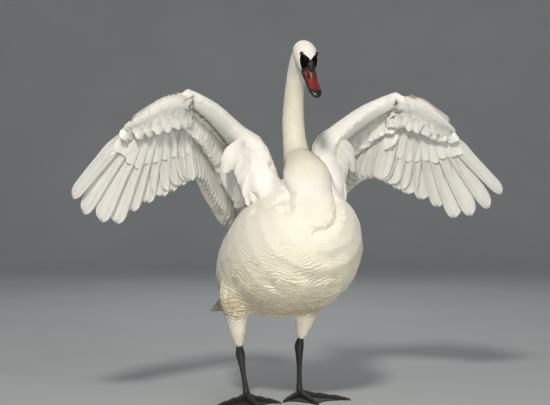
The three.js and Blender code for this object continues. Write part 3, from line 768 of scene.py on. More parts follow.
# The lie of the coat: places in the modelling frame and the way the feathers point there.
LIE = [
    ((0, -130, 1004), (0, 0.9, -0.1)), ((0, -98, 985), (0, 0.8, -0.6)), ((0, -68, 920), (0, 0.2, -1)),
    ((0, -54, 866), (0, 0, -1)), ((0, -51, 810), (0, 0, -1)), ((0, -63, 752), (0, -0.1, -1)),
    ((0, -86, 710), (0, -0.2, -1)), ((0, -150, 660), (0, -0.1, -1)), ((0, -230, 640), (0, -0.3, -1)),
    ((0, -262, 560), (0, 0.05, -1)), ((0, -255, 470), (0, 0.45, -1)), ((0, -190, 370), (0, 1, -0.7)),
    ((0, -80, 285), (0, 1, -0.25)), ((0, 100, 220), (0, 1, 0.0)), ((0, 260, 240), (0, 1, 0.25)),
    ((110, -215, 560), (0.45, 0.35, -1)), ((150, -200, 500), (0.5, 0.6, -1)), ((195, -100, 470), (0.1, 1, -0.8)),
    ((120, -210, 400), (0.1, 0.9, -0.9)), ((190, 0, 420), (0, 1, -0.45)), ((160, -60, 320), (0, 1, -0.5)),
    ((175, 120, 370), (-0.1, 1, -0.3)), ((140, 220, 330), (-0.3, 1, -0.1)), ((80, 300, 310), (-0.2, 1, -0.1)),
    ((0, 0, 590), (0, 1, -0.3)), ((0, 120, 500), (0, 1, -0.4)), ((0, 240, 410), (0, 1, -0.3)),
    ((120, 20, 560), (0.1, 1, -0.5)), ((0, 320, 320), (0, 1, -0.2)), ((80, -40, 640), (0.3, 0.9, -0.6)),
    ((82, 60, 240), (0, 0.2, -1)), ((70, 60, 180), (0, 0.1, -1)), ((140, 60, 240), (0, 0.2, -1)), ((112, 80, 180), (0, 0.1, -1)),
]
lie_at = spot(*[place for place, _ in LIE])
lie_way = unit(np.array([way for _, way in LIE], float))


def lie_of(points, normals):
    """The way feathers point at skin points, square to the normal."""
    mirrored = points.copy()
    sign = np.tanh(points[:, 0] / 0.035)
    mirrored[:, 0] = np.abs(points[:, 0])
    gap = np.linalg.norm(mirrored[:, None] - lie_at[None], axis=2)
    weight = 1 / (gap + 0.02) ** 4
    way = (weight[..., None] * lie_way[None]).sum(1)
    way[:, 0] *= sign
    x, f, u = head_frame(points)
    on_face = step(-45, -10, f)[:, None] * step(0.10, 0.07, np.linalg.norm(points - on_head(0, 0, -20), axis=1))[:, None]
    way = mix(unit(way), np.broadcast_to(-FORWARD, way.shape), on_face)
    return unit(way - normals * np.sum(way * normals, 1, keepdims=True))


def scatter(zone, gap, seed):
    """Roots spread over faces where zone is true, no two nearer than gap."""
    dice = np.random.default_rng(seed)
    chosen = np.flatnonzero(zone)
    if not len(chosen):
        return np.empty(0, int), np.empty((0, 3))
    count = int(face_area[chosen].sum() / gap**2 * 4.5)
    picks = dice.choice(chosen, count, p=face_area[chosen] / face_area[chosen].sum())
    spread = np.sqrt(face_area[picks])[:, None] * dice.uniform(-0.5, 0.5, (count, 3))
    n = face_normal[picks]
    points = face_centre[picks] + spread - n * np.sum(spread * n, 1, keepdims=True)
    cells, kept = {}, []
    keys = np.floor(points / gap).astype(int).tolist()
    near = [(i, j, k) for i in (-1, 0, 1) for j in (-1, 0, 1) for k in (-1, 0, 1)]
    places = points.tolist()
    limit = gap * gap
    for index, ((a, b, c), (x, y, z)) in enumerate(zip(keys, places)):
        clear = True
        for i, j, k in near:
            for ox, oy, oz in cells.get((a + i, b + j, c + k), ()):
                if (x - ox) ** 2 + (y - oy) ** 2 + (z - oz) ** 2 < limit:
                    clear = False
                    break
            if not clear:
                break
        if clear:
            cells.setdefault((a, b, c), []).append((x, y, z))
            kept.append(index)
    return picks[kept], points[kept]


body_tree = tree_of(["trunk", "neck_lower", "neck_middle", "neck_upper", "head", "tail_base", "thigh_left", "thigh_right"])
from_body = distances(body_tree, face_centre)
on_body = from_body < np.where(face_centre[:, 2] > 0.80, 0.03, 0.0135)
HX, HF, HU = head_frame(face_centre)
from_skull = np.linalg.norm(face_centre - on_head(0, -15, -20), axis=1)
feathered = bare_depth(HX, HF, HU) < -0.8
for side in SIDES.values():
    feathered &= (HX - side * 24) ** 2 + HF**2 + HU**2 > 8.5**2
height = face_centre[:, 2]
is_head = on_body & feathered & (from_skull < 0.062)
is_neck = on_body & (from_skull >= 0.062) & (height > 0.70)
is_trunk = on_body & (height <= 0.70) & (height > 0.262)
is_thigh = on_body & (height <= 0.262)


on_wing = ~on_body
wing_s, wing_c, wing_face = wing_places(face_centre)
face_side = np.sign(face_centre[:, 0])
face_lie = lie_of(face_centre, face_normal)
wing_lie = way_out(wing_s, wing_c) * np.stack([face_side, face_side * 0 + 1, face_side * 0 + 1], 1)
blend = step(0.0, 0.25, wing_s) * step(0.008, 0.03, from_body)
face_lie = unit(mix(face_lie, wing_lie, blend[:, None]))


def cover(coat, zone, gap, length, width, lift, sink, seed, pitch=0.0, **more):
    """Scatters vanes over a zone; sizes may be functions of the roots. With a pitch the belly's are in rows."""
    faces, roots = scatter(zone, gap, seed)
    if not len(roots):
        return
    normals, ways = face_normal[faces], face_lie[faces]
    ways = unit(ways - normals * np.sum(ways * normals, 1, keepdims=True))
    if pitch:
        x, y, z = roots.T
        phase = z - 0.55 * y + 0.010 * np.sin(17 * x + 9 * y) + 0.005 * np.sin(43 * x + 2)
        slope = np.minimum(ways[:, 2] - 0.55 * ways[:, 1], -0.35)
        shift = (np.round(phase / pitch) * pitch - phase) / slope * belly(roots)
        roots = roots + ways * np.clip(shift, -pitch, pitch)[:, None]
    turn = rng.normal(0, 0.10, len(roots))[:, None]
    ways = unit(ways + np.cross(normals, ways) * turn)
    size = lambda v: (v(roots) if callable(v) else np.full(len(roots), v)) * rng.uniform(0.88, 1.12, len(roots))
    lay(coat, roots, normals, ways, size(length), size(width), size(lift), sink, **more)


def reach(points):
    """Distance from the face, in metres."""
    return np.linalg.norm(points - on_head(0, 12, -20), axis=1)


def belly(points):
    """0 on the breast, shoulders and back, 1 low on the belly and flanks."""
    return step(0.50, 0.34, points[:, 2])


def up_neck(points):
    return step(0.72, 0.95, points[:, 2])


def ruffled(points):
    """1 where the feathers stand up in the hollow between the neck and the right shoulder."""
    gap = along_line(points, spot((-64, -96, 690), (-52, -124, 654), (-48, -160, 620)))
    return 0.7 * np.exp(-((gap / 0.024) ** 2))


head_coat = Coat("coat_head", DOWN, 4, 3)
cover(head_coat, is_head, 0.0031, lambda p: mix(0.006, 0.011, step(0.03, 0.062, reach(p))), 0.0050, 0.0009, 0.0, 1, crown=0.02)
head_coat.finish()

neck_coat = Coat("coat_neck", DOWN, 5, 3)
cover(neck_coat, is_neck, 0.0052, lambda p: mix(0.024, 0.013, up_neck(p)), lambda p: mix(0.013, 0.008, up_neck(p)), lambda p: mix(0.0022, 0.0014, up_neck(p)), 0.0002, 2, crown=0.03)
neck_coat.finish()

def off_thigh(points):
    """0 where the belly turns into a thigh or the flank's fold, 1 elsewhere."""
    low = step(0.34, 0.42, points[:, 2] + 0.6 * (0.13 - np.abs(points[:, 0])))
    return low * step(0.016, 0.055, along_line(points, spot(*FLANK_FOLD)))


def trunk_length(points):
    size = mix(0.024, 0.033, step(0.66, 0.42, points[:, 2]))
    return mix(0.017, size, off_thigh(points))


for half, zone in (("front", face_centre[:, 1] < -0.02), ("back", face_centre[:, 1] >= -0.02)):
    trunk_coat = Coat(f"coat_trunk_{half}", DOWN, 6, 4)
    cover(
        trunk_coat, is_trunk & zone, 0.0076, trunk_length, lambda p: trunk_length(p) * mix(0.70, 0.62, belly(p)),
        lambda p: mix(0.0011, 0.0030, belly(p) * off_thigh(p)) + 0.0050 * ruffled(p), 0.0006, 4, pitch=0.014, blunt=0.72, crown=0.05,
    )
    trunk_coat.finish()

thigh_coat = Coat("coat_thighs", DOWN, 5, 3)
cover(thigh_coat, is_thigh, 0.0060, 0.019, 0.011, 0.0014, 0.0002, 5, crown=0.03)
thigh_coat.finish()

small = on_wing & (wing_c < np.where(wing_s < 0.34, 1.1, 0.50))
for name, side in SIDES.items():
    edge_coat = Coat(f"coverts_edge_{name}", DOWN, 5, 4)
    for part, lo_c, hi_c, gap, length, width in ((0, -1, 0.22, 0.0064, 0.021, 0.014), (1, 0.22, 2, 0.0088, 0.031, 0.021)):
        zone = small & (face_side == side) & (wing_c >= lo_c) & (wing_c < hi_c)
        cover(edge_coat, zone, gap, length, width, 0.0013 + 0.0004 * part, 0.0006, 6 + part)
    edge_coat.finish()

# ---------------------------------------------------------------- wing coverts
def wing_rows(coat, side, face, rows):
    """Rows of coverts. face +1 is the upper (rear) side, -1 the under (front) side.
    Each row: s from, s to, r of the roots, length, width, spacing, lift, standing off, crown."""
    for s0, s1, r0, length, width, spacing, lift, off, crown in rows:
        line = wing_point(np.linspace(s0, s1, 80), np.full(80, r0))
        reach = np.concatenate([[0], np.cumsum(np.linalg.norm(np.diff(line, axis=0), axis=1))])
        count = max(2, int(reach[-1] / spacing))
        s = np.interp((np.arange(count) + 0.5) / count * reach[-1], reach, np.linspace(s0, s1, 80))
        s = s + rng.normal(0, 0.12, count) * (s1 - s0) / count
        r = np.maximum(r0 + rng.normal(0, 0.012, count), 0.0)
        size = length * rng.uniform(0.92, 1.08, count) * mix(1, HAND_SHRINK, np.clip(s - 1, 0, 1))
        way = way_out(s, r)
        e = 0.02
        ds_axis = (wing_point(s + e, r) - wing_point(s - e, r)) / (2 * e)
        dr_axis = (wing_point(s, r + e) - wing_point(s, np.maximum(r - e, 0))) / (r + e - np.maximum(r - e, 0))[:, None]
        a, b, c = (np.sum(x * y, 1) for x, y in ((ds_axis, ds_axis), (ds_axis, dr_axis), (dr_axis, dr_axis)))
        p, q = np.sum(ds_axis * way, 1), np.sum(dr_axis * way, 1)
        det = a * c - b * b
        ds, dr = (c * p - b * q) / det * size, (a * q - b * p) / det * size
        plan = vane_plan(coat.rows, coat.columns, 0.66)
        centre, sides, normals = [], [], []
        start = None
        for k, u in enumerate(plan[0]):
            sk, rk = s + ds * u, np.maximum(r + dr * u, 0.0)
            if k:  # the step in r is shorter on the flesh than past its edge
                rk = r_after(s, r, sk, size * u, rk)
            out, back, up = wing_axes(sk, rk)
            up = up * face
            p = wing_point(sk, rk)
            if k == 0:
                start = on_skin((p + up * (wing_half(sk, rk, face) + 0.004)[:, None]) * np.array([side, 1, 1]))[2]
            top = p + up * wing_half(sk, rk, face)[:, None]
            rise = off + lift * u**1.2
            centre.append(top + up * rise * np.ones((len(s), 1)))
            normals.append(up)
        centre, normals = np.stack(centre, 1), np.stack(normals, 1)
        along = unit(np.gradient(centre, axis=1))
        sides = unit(np.cross(normals, along))
        mirror = np.array([side, 1, 1])
        vane = np.stack(np.broadcast_arrays(plan[1][None, :] * 0.5 + 0.5, plan[0][:, None]), -1)
        grid = vane_grid(centre * mirror, sides * mirror, normals * mirror, size, width * size / length, plan, np.full(count, crown), 0.03)
        coat.add(grid, start, 0.02 + 0 * s, rng.uniform(0, 1, count), vane)


def r_after(s, r, s_now, travel, guess):
    """r reached after going `travel` metres from r, allowing for the different scale past the flesh."""
    chord = np.linalg.norm(wing_base(np.clip(s, 0, 2), 1.0) - wing_base(np.clip(s, 0, 2), 0.0), axis=1) * 1.15
    blade = np.linalg.norm(feather_tip(np.clip(s, 0.28, 1.97)) - wing_base(np.clip(s, 0, 2), 1.0), axis=1)
    left = np.maximum(travel - np.maximum(1 - r, 0) * chord, 0)
    inside = np.minimum(r + travel / chord, 1.0)
    return np.where(r < 1, inside + np.where(inside >= 1, left / blade, 0), r + travel / blade)


HAND_SHRINK = 0.72  # coverts at the finger tip against those at the wrist
UNDER = [
    # s from, s to, r, length, width, spacing, lift, off, crown
    (0.30, 1.08, 0.36, 0.044, 0.034, 0.0120, 0.0060, 0.0010, 0.25),
    (0.30, 1.08, 0.50, 0.040, 0.030, 0.0125, 0.0030, 0.0006, 0.15),
    (0.26, 1.08, 0.60, 0.044, 0.034, 0.0135, 0.0040, 0.0008, 0.20),
    (0.04, 1.02, 0.70, 0.058, 0.046, 0.0180, 0.0200, 0.0030, 0.40),
    (0.02, 0.50, 0.82, 0.064, 0.050, 0.0200, 0.0170, 0.0020, 0.40),
    (0.04, 0.44, 0.56, 0.080, 0.058, 0.0250, 0.0260, 0.0140, 0.40),
    (0.03, 0.46, 0.42, 0.095, 0.062, 0.0270, 0.0220, 0.0150, 0.40),
    (0.03, 0.42, 0.29, 0.090, 0.062, 0.0270, 0.0180, 0.0040, 0.35),
    (0.30, 1.02, 0.88, 0.084, 0.042, 0.0140, 0.0030, 0.0012, 0.12),
    (1.00, 1.99, 0.02, 0.036, 0.030, 0.0130, 0.0030, 0.0006, 0.20),
    (0.93, 1.98, 0.16, 0.040, 0.034, 0.0130, 0.0050, 0.0010, 0.25),
    (0.93, 1.98, 0.30, 0.046, 0.040, 0.0150, 0.0100, 0.0020, 0.30),
    (1.00, 1.97, 0.44, 0.050, 0.050, 0.0190, 0.0140, 0.0060, 0.40),
    (1.00, 1.97, 0.58, 0.050, 0.056, 0.0240, 0.0150, 0.0110, 0.50),
    (1.00, 1.88, 0.80, 0.062, 0.046, 0.0150, 0.0030, 0.0012, 0.12),
    (1.00, 1.80, 0.90, 0.100, 0.068, 0.0140, 0.0030, 0.0022, 0.10),
]
UPPER = [
    (0.20, 2.0, 0.36, 0.038, 0.026, 0.0105, 0.0022, 0.0006, 0.15),
    (0.18, 2.0, 0.46, 0.043, 0.029, 0.0115, 0.0026, 0.0008, 0.15),
    (0.14, 1.98, 0.57, 0.050, 0.032, 0.0125, 0.0030, 0.0010, 0.15),
    (0.14, 1.96, 0.69, 0.060, 0.036, 0.0140, 0.0034, 0.0012, 0.15),
    (0.18, 1.94, 0.81, 0.080, 0.040, 0.0160, 0.0036, 0.0016, 0.15),
    (0.28, 1.90, 0.94, 0.106, 0.043, 0.0180, 0.0030, 0.0018, 0.15),
]
for name, side in SIDES.items():
    for label, face, rows in (("under", -1, UNDER), ("upper", 1, UPPER)):
        coat = Coat(f"coverts_{label}_{name}", COVERTS, 7, 5)
        wing_rows(coat, side, face, rows)
        coat.finish()

# Loose feathers that hang from the arm over the elbow's under side: root, tip and width on the left wing.
TUFTS = [
    ((150, -44, 742), (198, -22, 664), 50), ((146, -50, 730), (174, -30, 662), 48), ((142, -54, 716), (156, -36, 634), 46),
    ((138, -60, 700), (145, -44, 604), 46), ((134, -68, 680), (138, -58, 576), 42), ((128, -82, 655), (128, -78, 562), 38),
]


def elbow_tufts(coat, side):
    mirror = np.array([side, 1, 1])
    plan = vane_plan(coat.rows, coat.columns, 0.66)
    u = plan[0][:, None]
    for root, tip, width in TUFTS:
        for layer in range(3):
            a, b = spot(root, tip) + rng.normal(0, 4 * MM, (2, 3)) + np.array([0, 0.006 * layer - 0.004, 0.012 * layer])
            way = unit(b - a)
            side_way = unit(np.cross(way, np.array([0.1, -1, 0.15])))
            front = np.cross(side_way, way)
            centre = (a + (b - a) * u + front * (0.012 * np.sin(np.pi * u**0.8)))[None] * mirror
            sides = np.broadcast_to(side_way * mirror, centre.shape)
            normals = np.broadcast_to(front * mirror, centre.shape)
            start = on_skin(centre[:, 0])[2]
            vane = np.stack(np.broadcast_arrays(plan[1][None, :] * 0.5 + 0.5, u), -1)
            length = np.array([np.linalg.norm(b - a)])
            grid = vane_grid(centre, sides, normals, length, np.array([width * MM]), plan, np.array([0.35]), 0.03)
            coat.add(grid, start, np.full(1, 0.02), rng.uniform(0, 1, 1), vane)


for name, side in SIDES.items():
    coat = Coat(f"coverts_elbow_{name}", COVERTS, 9, 7)
    elbow_tufts(coat, side)
    coat.finish()

# ---------------------------------------------------------------- flight feathers
class Quills:
    """Long feathers: a closed thin blade with a raised shaft, each on its own patch of the map."""

    ROWS, COLUMNS = 30, 9

    def __init__(self, name):
        self.name, self.points, self.faces, self.bake, self.vane, self.shade, self.tint = name, [], [], [], [], [], []
        self.count = 0

    def add(self, root, tip, face_way, bow, width, sweep=0.0, notch=0.0, lead=0.4, thick=0.0011, tint=0.03, root_width=0.35):
        """root, tip: ends. face_way: rough normal. bow: rise along it. width: full width. lead: share in front."""
        u = np.linspace(0, 1, self.ROWS)
        way = unit(tip - root)
        length = np.linalg.norm(tip - root)
        side = unit(np.cross(way, face_way))
        normal = unit(np.cross(side, way))
        arc = np.sin(np.pi * u)[:, None]
        centre = root + (tip - root) * u[:, None] + normal * (bow * length * arc) + side * (sweep * length * arc)
        along = unit(np.gradient(centre, axis=0))
        side = unit(np.cross(along, np.broadcast_to(normal, along.shape)))
        up = np.cross(side, along)
        round_tip = np.sqrt(np.clip(1 - (np.clip(u - 0.86, 0, 1) / 0.1415) ** 2, 0, 1))
        swell = mix(root_width, 1.0, step(0.0, 0.35, u)) * mix(1.0, 0.93, step(0.6, 1, u)) * round_tip
        front = lead * (1 - notch * 0.75 * step(0.35, 0.55, u))
        rear = (1 - lead) * (1 - notch * step(0.30, 0.52, u))
        v = np.linspace(-1, 1, self.COLUMNS)
        reach = np.where(v[None] < 0, v[None] * front[:, None], v[None] * rear[:, None]) * width * swell[:, None]
        layers = []
        camber = -0.10 * (v**2) * width
        edge = np.clip(1 - np.abs(v), 0.12, 1)
        shaft = 0.0011 * np.exp(-((v / 0.16) ** 2))[None] * (1 - 0.7 * u[:, None])
        for face in (1, -1):
            rise = camber[None] + face * (thick / 2 * edge[None] * (1 - 0.5 * u[:, None]) + shaft)
            layers.append(centre[:, None] + side[:, None] * reach[..., None] + up[:, None] * rise[..., None])
        slant = 0.05 * width * np.abs(v) * (u[:, None] > 0.02)
        layers = [layer + along[:, None] * slant[..., None] for layer in layers]
        n = self.ROWS * self.COLUMNS
        front_faces = grid_faces(self.ROWS, self.COLUMNS)
        back_faces = front_faces[:, ::-1] + n
        c = self.COLUMNS
        left = np.array([[i * c, (i + 1) * c, (i + 1) * c + n, i * c + n] for i in range(self.ROWS - 1)])
        right = np.array([[(i + 1) * c + c - 1, i * c + c - 1, i * c + c - 1 + n, (i + 1) * c + c - 1 + n] for i in range(self.ROWS - 1)])
        first = np.array([[j + 1, j, j + n, j + 1 + n] for j in range(c - 1)])
        last = np.array([[(self.ROWS - 1) * c + j, (self.ROWS - 1) * c + j + 1, (self.ROWS - 1) * c + j + 1 + n, (self.ROWS - 1) * c + j + n] for j in range(c - 1)])
        base = sum(len(p) for p in self.points)
        self.points.append(np.concatenate([layer.reshape(-1, 3) for layer in layers]))
        self.faces.append(np.concatenate([front_faces, back_faces, left, right, first, last]) + base)
        plan = np.stack(np.broadcast_arrays(v[None] * 0.5 + 0.5, u[:, None]), -1).reshape(-1, 2)
        self.vane.append(np.concatenate([plan, plan]))
        cell = []
        for face in (0, 1):
            k = self.count * 2 + face
            corner = np.array([k % 12, k // 12]) / 12
            cell.append(corner + (0.04 + plan * 0.92) / 12)
        self.bake.append(np.concatenate(cell))
        self.shade.append(np.full(2 * n, rng.uniform(0, 1)))
        self.tint.append(np.full(2 * n, tint))
        self.count += 1

    def finish(self, slot="flight_feathers"):
        maps = {"OFBake": np.concatenate(self.bake), "Vane": np.concatenate(self.vane)}
        values = {"shade": np.concatenate(self.shade), "tint": np.concatenate(self.tint)}
        return make_piece(self.name, np.concatenate(self.points), np.concatenate(self.faces), QUILLS, slot, maps, values)


SHINGLE = math.radians(6.5)  # each blade leans so that it laps under the next one out


def flight(side_name, side):
    mirror = np.array([side, 1, 1])

    def blade(quills, s, width, lead, **more):
        edge, tip = wing_base(s, 1.0), feather_tip(s)
        out, _, up = (v[0] for v in wing_axes(np.array([s]), np.array([1.2])))
        face = up * math.cos(SHINGLE) - out * math.sin(SHINGLE)
        lead = lead if side > 0 else 1 - lead
        quills.add(mix(edge, tip, -0.12) * mirror, tip * mirror, face * mirror, BOW, width, lead=lead, **more)

    primary = Quills(f"feathers_primary_{side_name}")
    for k in range(10):
        outer = max(1 - k / 3, 0)
        blade(primary, 1 + 0.97 - 0.96 * (k + 0.5) / 10, mix(0.061, 0.042, outer**1.5), 0.36, notch=0.08 * min(outer * 2, 1), tint=0.03)
    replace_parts(primary.finish(), f"primaries_{side_name}")
    secondary = Quills(f"feathers_secondary_{side_name}")
    for k in range(14):
        blade(secondary, 1 - 0.5 * (k + 0.5) / 14, 0.054, 0.35, tint=0.06)
    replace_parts(secondary.finish(), f"secondaries_{side_name}")
    tertial = Quills(f"feathers_tertial_{side_name}")
    for k in range(7):
        blade(tertial, 0.49 - 0.21 * (k + 0.5) / 7, 0.056, 0.42, tint=0.08)
    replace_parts(tertial.finish(), f"tertials_{side_name}")
    thumb = Quills(f"feathers_alula_{side_name}")
    for k in range(4):
        root, tip = spot((350, -88 + 3 * k, 889 - 4 * k), (482 - 26 * k, -76 + 2 * k, 810 + 7 * k))
        thumb.add(root * mirror, tip * mirror, np.array([0.12, 0.95, 0.2]) * mirror, 0.05, 0.028, thick=0.0015)
    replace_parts(thumb.finish(), f"alula_{side_name}")


for name, side in SIDES.items():
    flight(name, side)

# Tail.
TAIL_ROOT, TAIL_LENGTH, TAIL_DROP, TAIL_SPREAD, TAIL_HALF = (0, 384, 282), 100, math.radians(40), math.radians(24), 62
# The tail's cream tint of 0.5, which also deepens the darkening at its covered roots, is partly real staining and
# partly painted shade of the tail lying behind the body.
tail = Quills("feathers_tail")
TAIL_COUNT = 12
for k in range(TAIL_COUNT):
    q = 2 * (k + 0.5) / TAIL_COUNT - 1
    way = np.array([math.sin(TAIL_SPREAD * q), math.cos(TAIL_SPREAD * q) * math.cos(TAIL_DROP), -math.cos(TAIL_SPREAD * q) * math.sin(TAIL_DROP) - 0.1 * q * q])
    root = np.array(TAIL_ROOT) + np.array([TAIL_HALF * q, 0, -4 * q * q])
    tail.add(spot(root - 24 * way)[0], spot(root + way * TAIL_LENGTH * (1 - 0.2 * q * q))[0] + np.array([0, 0, 0.0012 * (1 - abs(q)) * 3]), np.array([0, 0.2, 1]), 0.02, 0.034, lead=0.5, tint=0.5)
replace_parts(tail.finish(), "tail_feathers")

# ---------------------------------------------------------------- lofts for the bare parts
def power_ring(count, upper, lower):
    """Cosines and sines of a ring whose upper and lower halves have their own roundness."""
    a = np.arange(count) / count * 2 * np.pi
    c, s = np.cos(a), np.sin(a)
    power = np.where(s >= 0, upper, lower)
    return np.sign(c) * np.abs(c) ** (2 / power), np.sign(s) * np.abs(s) ** (2 / power)


def closed(rings):
    """Faces and end fans of a tube of rings: points, quads, triangles."""
    rows, count = rings.shape[:2]
    points = rings.reshape(-1, 3)
    ends = np.stack([rings[0].mean(0), rings[-1].mean(0)])
    n = len(points)
    i = np.arange(count)
    j = (i + 1) % count
    first = np.stack([np.full(count, n), j, i], 1)
    last = np.stack([np.full(count, n + 1), i + (rows - 1) * count, j + (rows - 1) * count], 1)
    return np.concatenate([points, ends]), grid_faces(rows, count, wrap=True), np.concatenate([first, last])


def merged(parts):
    """Several (points, quads, triangles) as one."""
    points, quads, tris, n = [], [], [], 0
    for p, q, t in parts:
        points.append(p)
        quads.append(np.asarray(q).reshape(-1, 4) + n)
        tris.append(np.asarray(t).reshape(-1, 3) + n)
        n += len(p)
    return np.concatenate(points), np.concatenate(quads), np.concatenate(tris)


def head_rings(rows, rings, count, upper=2.0, lower=2.0):
    """Rings across the bill line from rows of f, u, half width, height above, depth below (millimetres)."""
    t = np.linspace(0, 1, rings)
    f, u, w, above, below = smooth_row(rows, t).T
    c, s = power_ring(count, upper, lower)
    x = w[:, None] * c
    rise = np.where(s >= 0, above[:, None] * s, below[:, None] * s)
    return x, np.repeat(f[:, None], count, 1), u[:, None] + rise


def limb_rings(rows, rings, count, floor=None):
    """Rings square to a line of rows: x, y, z, half width, half height above, half height below (mm)."""
    t = np.linspace(0, 1, rings)
    row = smooth_row(rows, t)
    line = row[:, :3]
    along = unit(np.gradient(line, axis=0))
    side = unit(np.array([1.0, 0, 0]) - along * along[:, :1])
    top = np.cross(along, side)
    a = np.arange(count) / count * 2 * np.pi
    high = np.where(np.sin(a)[None] >= 0, row[:, 4:5], row[:, 5:6]) * np.sin(a)
    points = line[:, None] + side[:, None] * (row[:, 3:4] * np.cos(a))[..., None] + top[:, None] * high[..., None]
    if floor is not None:
        points[..., 2] = np.maximum(points[..., 2], floor)
    return spot(*points.reshape(-1, 3)).reshape(points.shape)


# ---------------------------------------------------------------- bill
UPPER_BILL = [
    (16, -36, 14, 20, 6), (28, -36.5, 19, 27, 5.5), (42, -37, 20, 24, 5), (58, -38, 19, 19.5, 4.5), (76, -38.5, 18, 14, 4.5),
    (96, -38.5, 18, 9.5, 4.5), (114, -38.5, 17, 7.5, 4.5), (127, -39, 11.5, 5.5, 5), (133, -40.5, 4, 3, 3),
]
LOWER_BILL = [
    (16, -46, 14, 4, 9), (36, -46.5, 16, 4, 8), (66, -45.5, 15.5, 3.5, 6), (96, -44.5, 15, 3, 4.5), (116, -44, 12, 2.5, 3.5),
    (125, -43.5, 5, 1.5, 2),
]
KNOB = [(21, -9, 3, 3, 3), (25, -9.5, 9, 9, 8), (33, -10, 11.5, 11.5, 9), (43, -13, 10, 10, 9), (51, -17, 7, 6, 6), (56, -20, 2.5, 2, 2)]


def bill_material(name):
    """Glossy orange-red horn; black where the `black` value says; darker and redder along the ridge."""
    s = Shader(name, Coat_Weight=0.35, Coat_Roughness=0.16, Specular_IOR_Level=0.5)
    black = s.span(s.value("black"), 0.35, 0.65)
    streak = s.noise(s.coords(scale=(1, 0.35, 0.35)), 260.0, 4.0)
    red = s.blend(s.span(streak, 0.3, 0.7), (0.16, 0.009, 0.005), (0.25, 0.020, 0.009))
    red = s.blend(s.span(s.value("ridge"), 0.2, 0.9, 0.0, 0.8), red, (0.13, 0.014, 0.015))
    color = s.blend(black, red, (0.004, 0.0036, 0.0036))
    pits = s.noise(s.coords(), 900.0, 2.0)
    s.use(Normal=s.bump(s.math("ADD", s.math("MULTIPLY", streak, 1.2), pits), 0.00022))
    return s.use(Base_Color=color, Roughness=s.span(black, 0.0, 1.0, 0.30, 0.38))


HORN = bill_material("bill_horn")
NOSTRIL = (57.0, -25.5, 13.5, 2.7, 3.4)  # f, u, half length, half height, depth in millimetres
NAIL_FROM = 108.0


def build_bill():
    x, f, u = head_rings(UPPER_BILL, 130, 80, 1.6, 5)
    middle = smooth_row(np.array(UPPER_BILL), np.linspace(0, 1, 130))
    rise = (u - middle[:, 1:2]) / middle[:, 3:4]
    nf, nu, half_f, half_u, deep = NOSTRIL
    slot = np.exp(-np.clip(((f - nf) / half_f) ** 2 + ((u - nu - 0.16 * (nf - f)) / half_u) ** 2, 0, 30) ** 1.5)
    slot = slot * (np.abs(x) > 2.5)
    x = x - np.sign(x) * slot * deep
    u = u - slot * deep * 0.4
    # a soft groove along each side and the nail standing proud of the tip
    groove = np.exp(-(((rise - 0.30) / 0.13) ** 2)) * step(66, 78, f) * step(120, 100, f)
    x = x * (1 - 0.035 * groove)
    nail = step(NAIL_FROM, NAIL_FROM + 5, f - 2.0 + 0.028 * x**2) * step(-0.2, 0.15, rise)
    u = u + 0.9 * nail
    base = step(39, 35, f - 0.25 * np.abs(x))
    edge = step(0.40, 0.12, rise)
    black = np.clip(np.maximum.reduce([base, nail, step(0.12, 0.45, slot), edge * step(38, 50, f)]), 0, 1)
    ridge = step(0.80, 1.0, rise) * step(30, 50, f)
    points, quads, tris = closed(on_head(x, f, u))
    more = lambda v: np.concatenate([v.ravel(), [v[0].mean(), v[-1].mean()]])
    upper = make_piece("bill_horn_upper", points, quads[:, ::-1], HORN, "bill", values={"black": more(black), "ridge": more(ridge)}, tris=tris[:, ::-1])
    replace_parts(upper, "bill_upper")
    x, f, u = head_rings(LOWER_BILL, 60, 40)
    middle = smooth_row(np.array(LOWER_BILL), np.linspace(0, 1, 60))
    black = np.maximum(step(0.45, 0.75, np.abs(x) / middle[:, 2:3]), step(34, 30, f))
    black = np.maximum(black, step(108, 114, f))
    points, quads, tris = closed(on_head(x, f, u))
    lower = make_piece("bill_horn_lower", points, quads[:, ::-1], HORN, "bill", values={"black": more(black), "ridge": more(0 * black)}, tris=tris[:, ::-1])
    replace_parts(lower, "bill_lower")


def black_skin(name, scale, depth, roughness=0.45, color=(0.012, 0.011, 0.011), dust=(0.05, 0.048, 0.045)):
    """Bare black skin: small scales with a little dust on their tops."""
    s = Shader(name, Roughness=roughness)
    cells = s.add("ShaderNodeTexVoronoi", {"feature": "DISTANCE_TO_EDGE"}, Vector=s.coords(), Scale=scale).outputs["Distance"]
    plate = s.span(cells, 0.0, 0.12)
    grain = s.noise(s.coords(), scale * 2.5)
    height = s.math("ADD", plate, s.math("MULTIPLY", grain, 0.4))
    tone = s.math("MULTIPLY", plate, s.span(grain, 0.35, 0.75, 0.1, 0.7))
    return s.use(Normal=s.bump(height, depth), Base_Color=s.blend(tone, color, dust))


def build_knob():
    x, f, u = head_rings(KNOB, 60, 48)
    bump = 1 + 0.02 * np.sin(0.9 * f + 0.7 * x) * np.sin(0.8 * x)
    points, quads, tris = closed(on_head(x * bump, f, u))
    knob = make_piece("knob_skin", points, quads[:, ::-1], black_skin("knob_black", 700.0, 0.00014, 0.34, (0.002, 0.0018, 0.0018), (0.005, 0.0045, 0.0045)), "black_skin", tris=tris[:, ::-1])
    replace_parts(knob, "bill_knob")


# ---------------------------------------------------------------- eyes
EYE_RADIUS, EYE_OUT = 6.6, 20.2
LID_LONG, LID_TALL, LID_THICK = 6.1, 4.8, 0.65


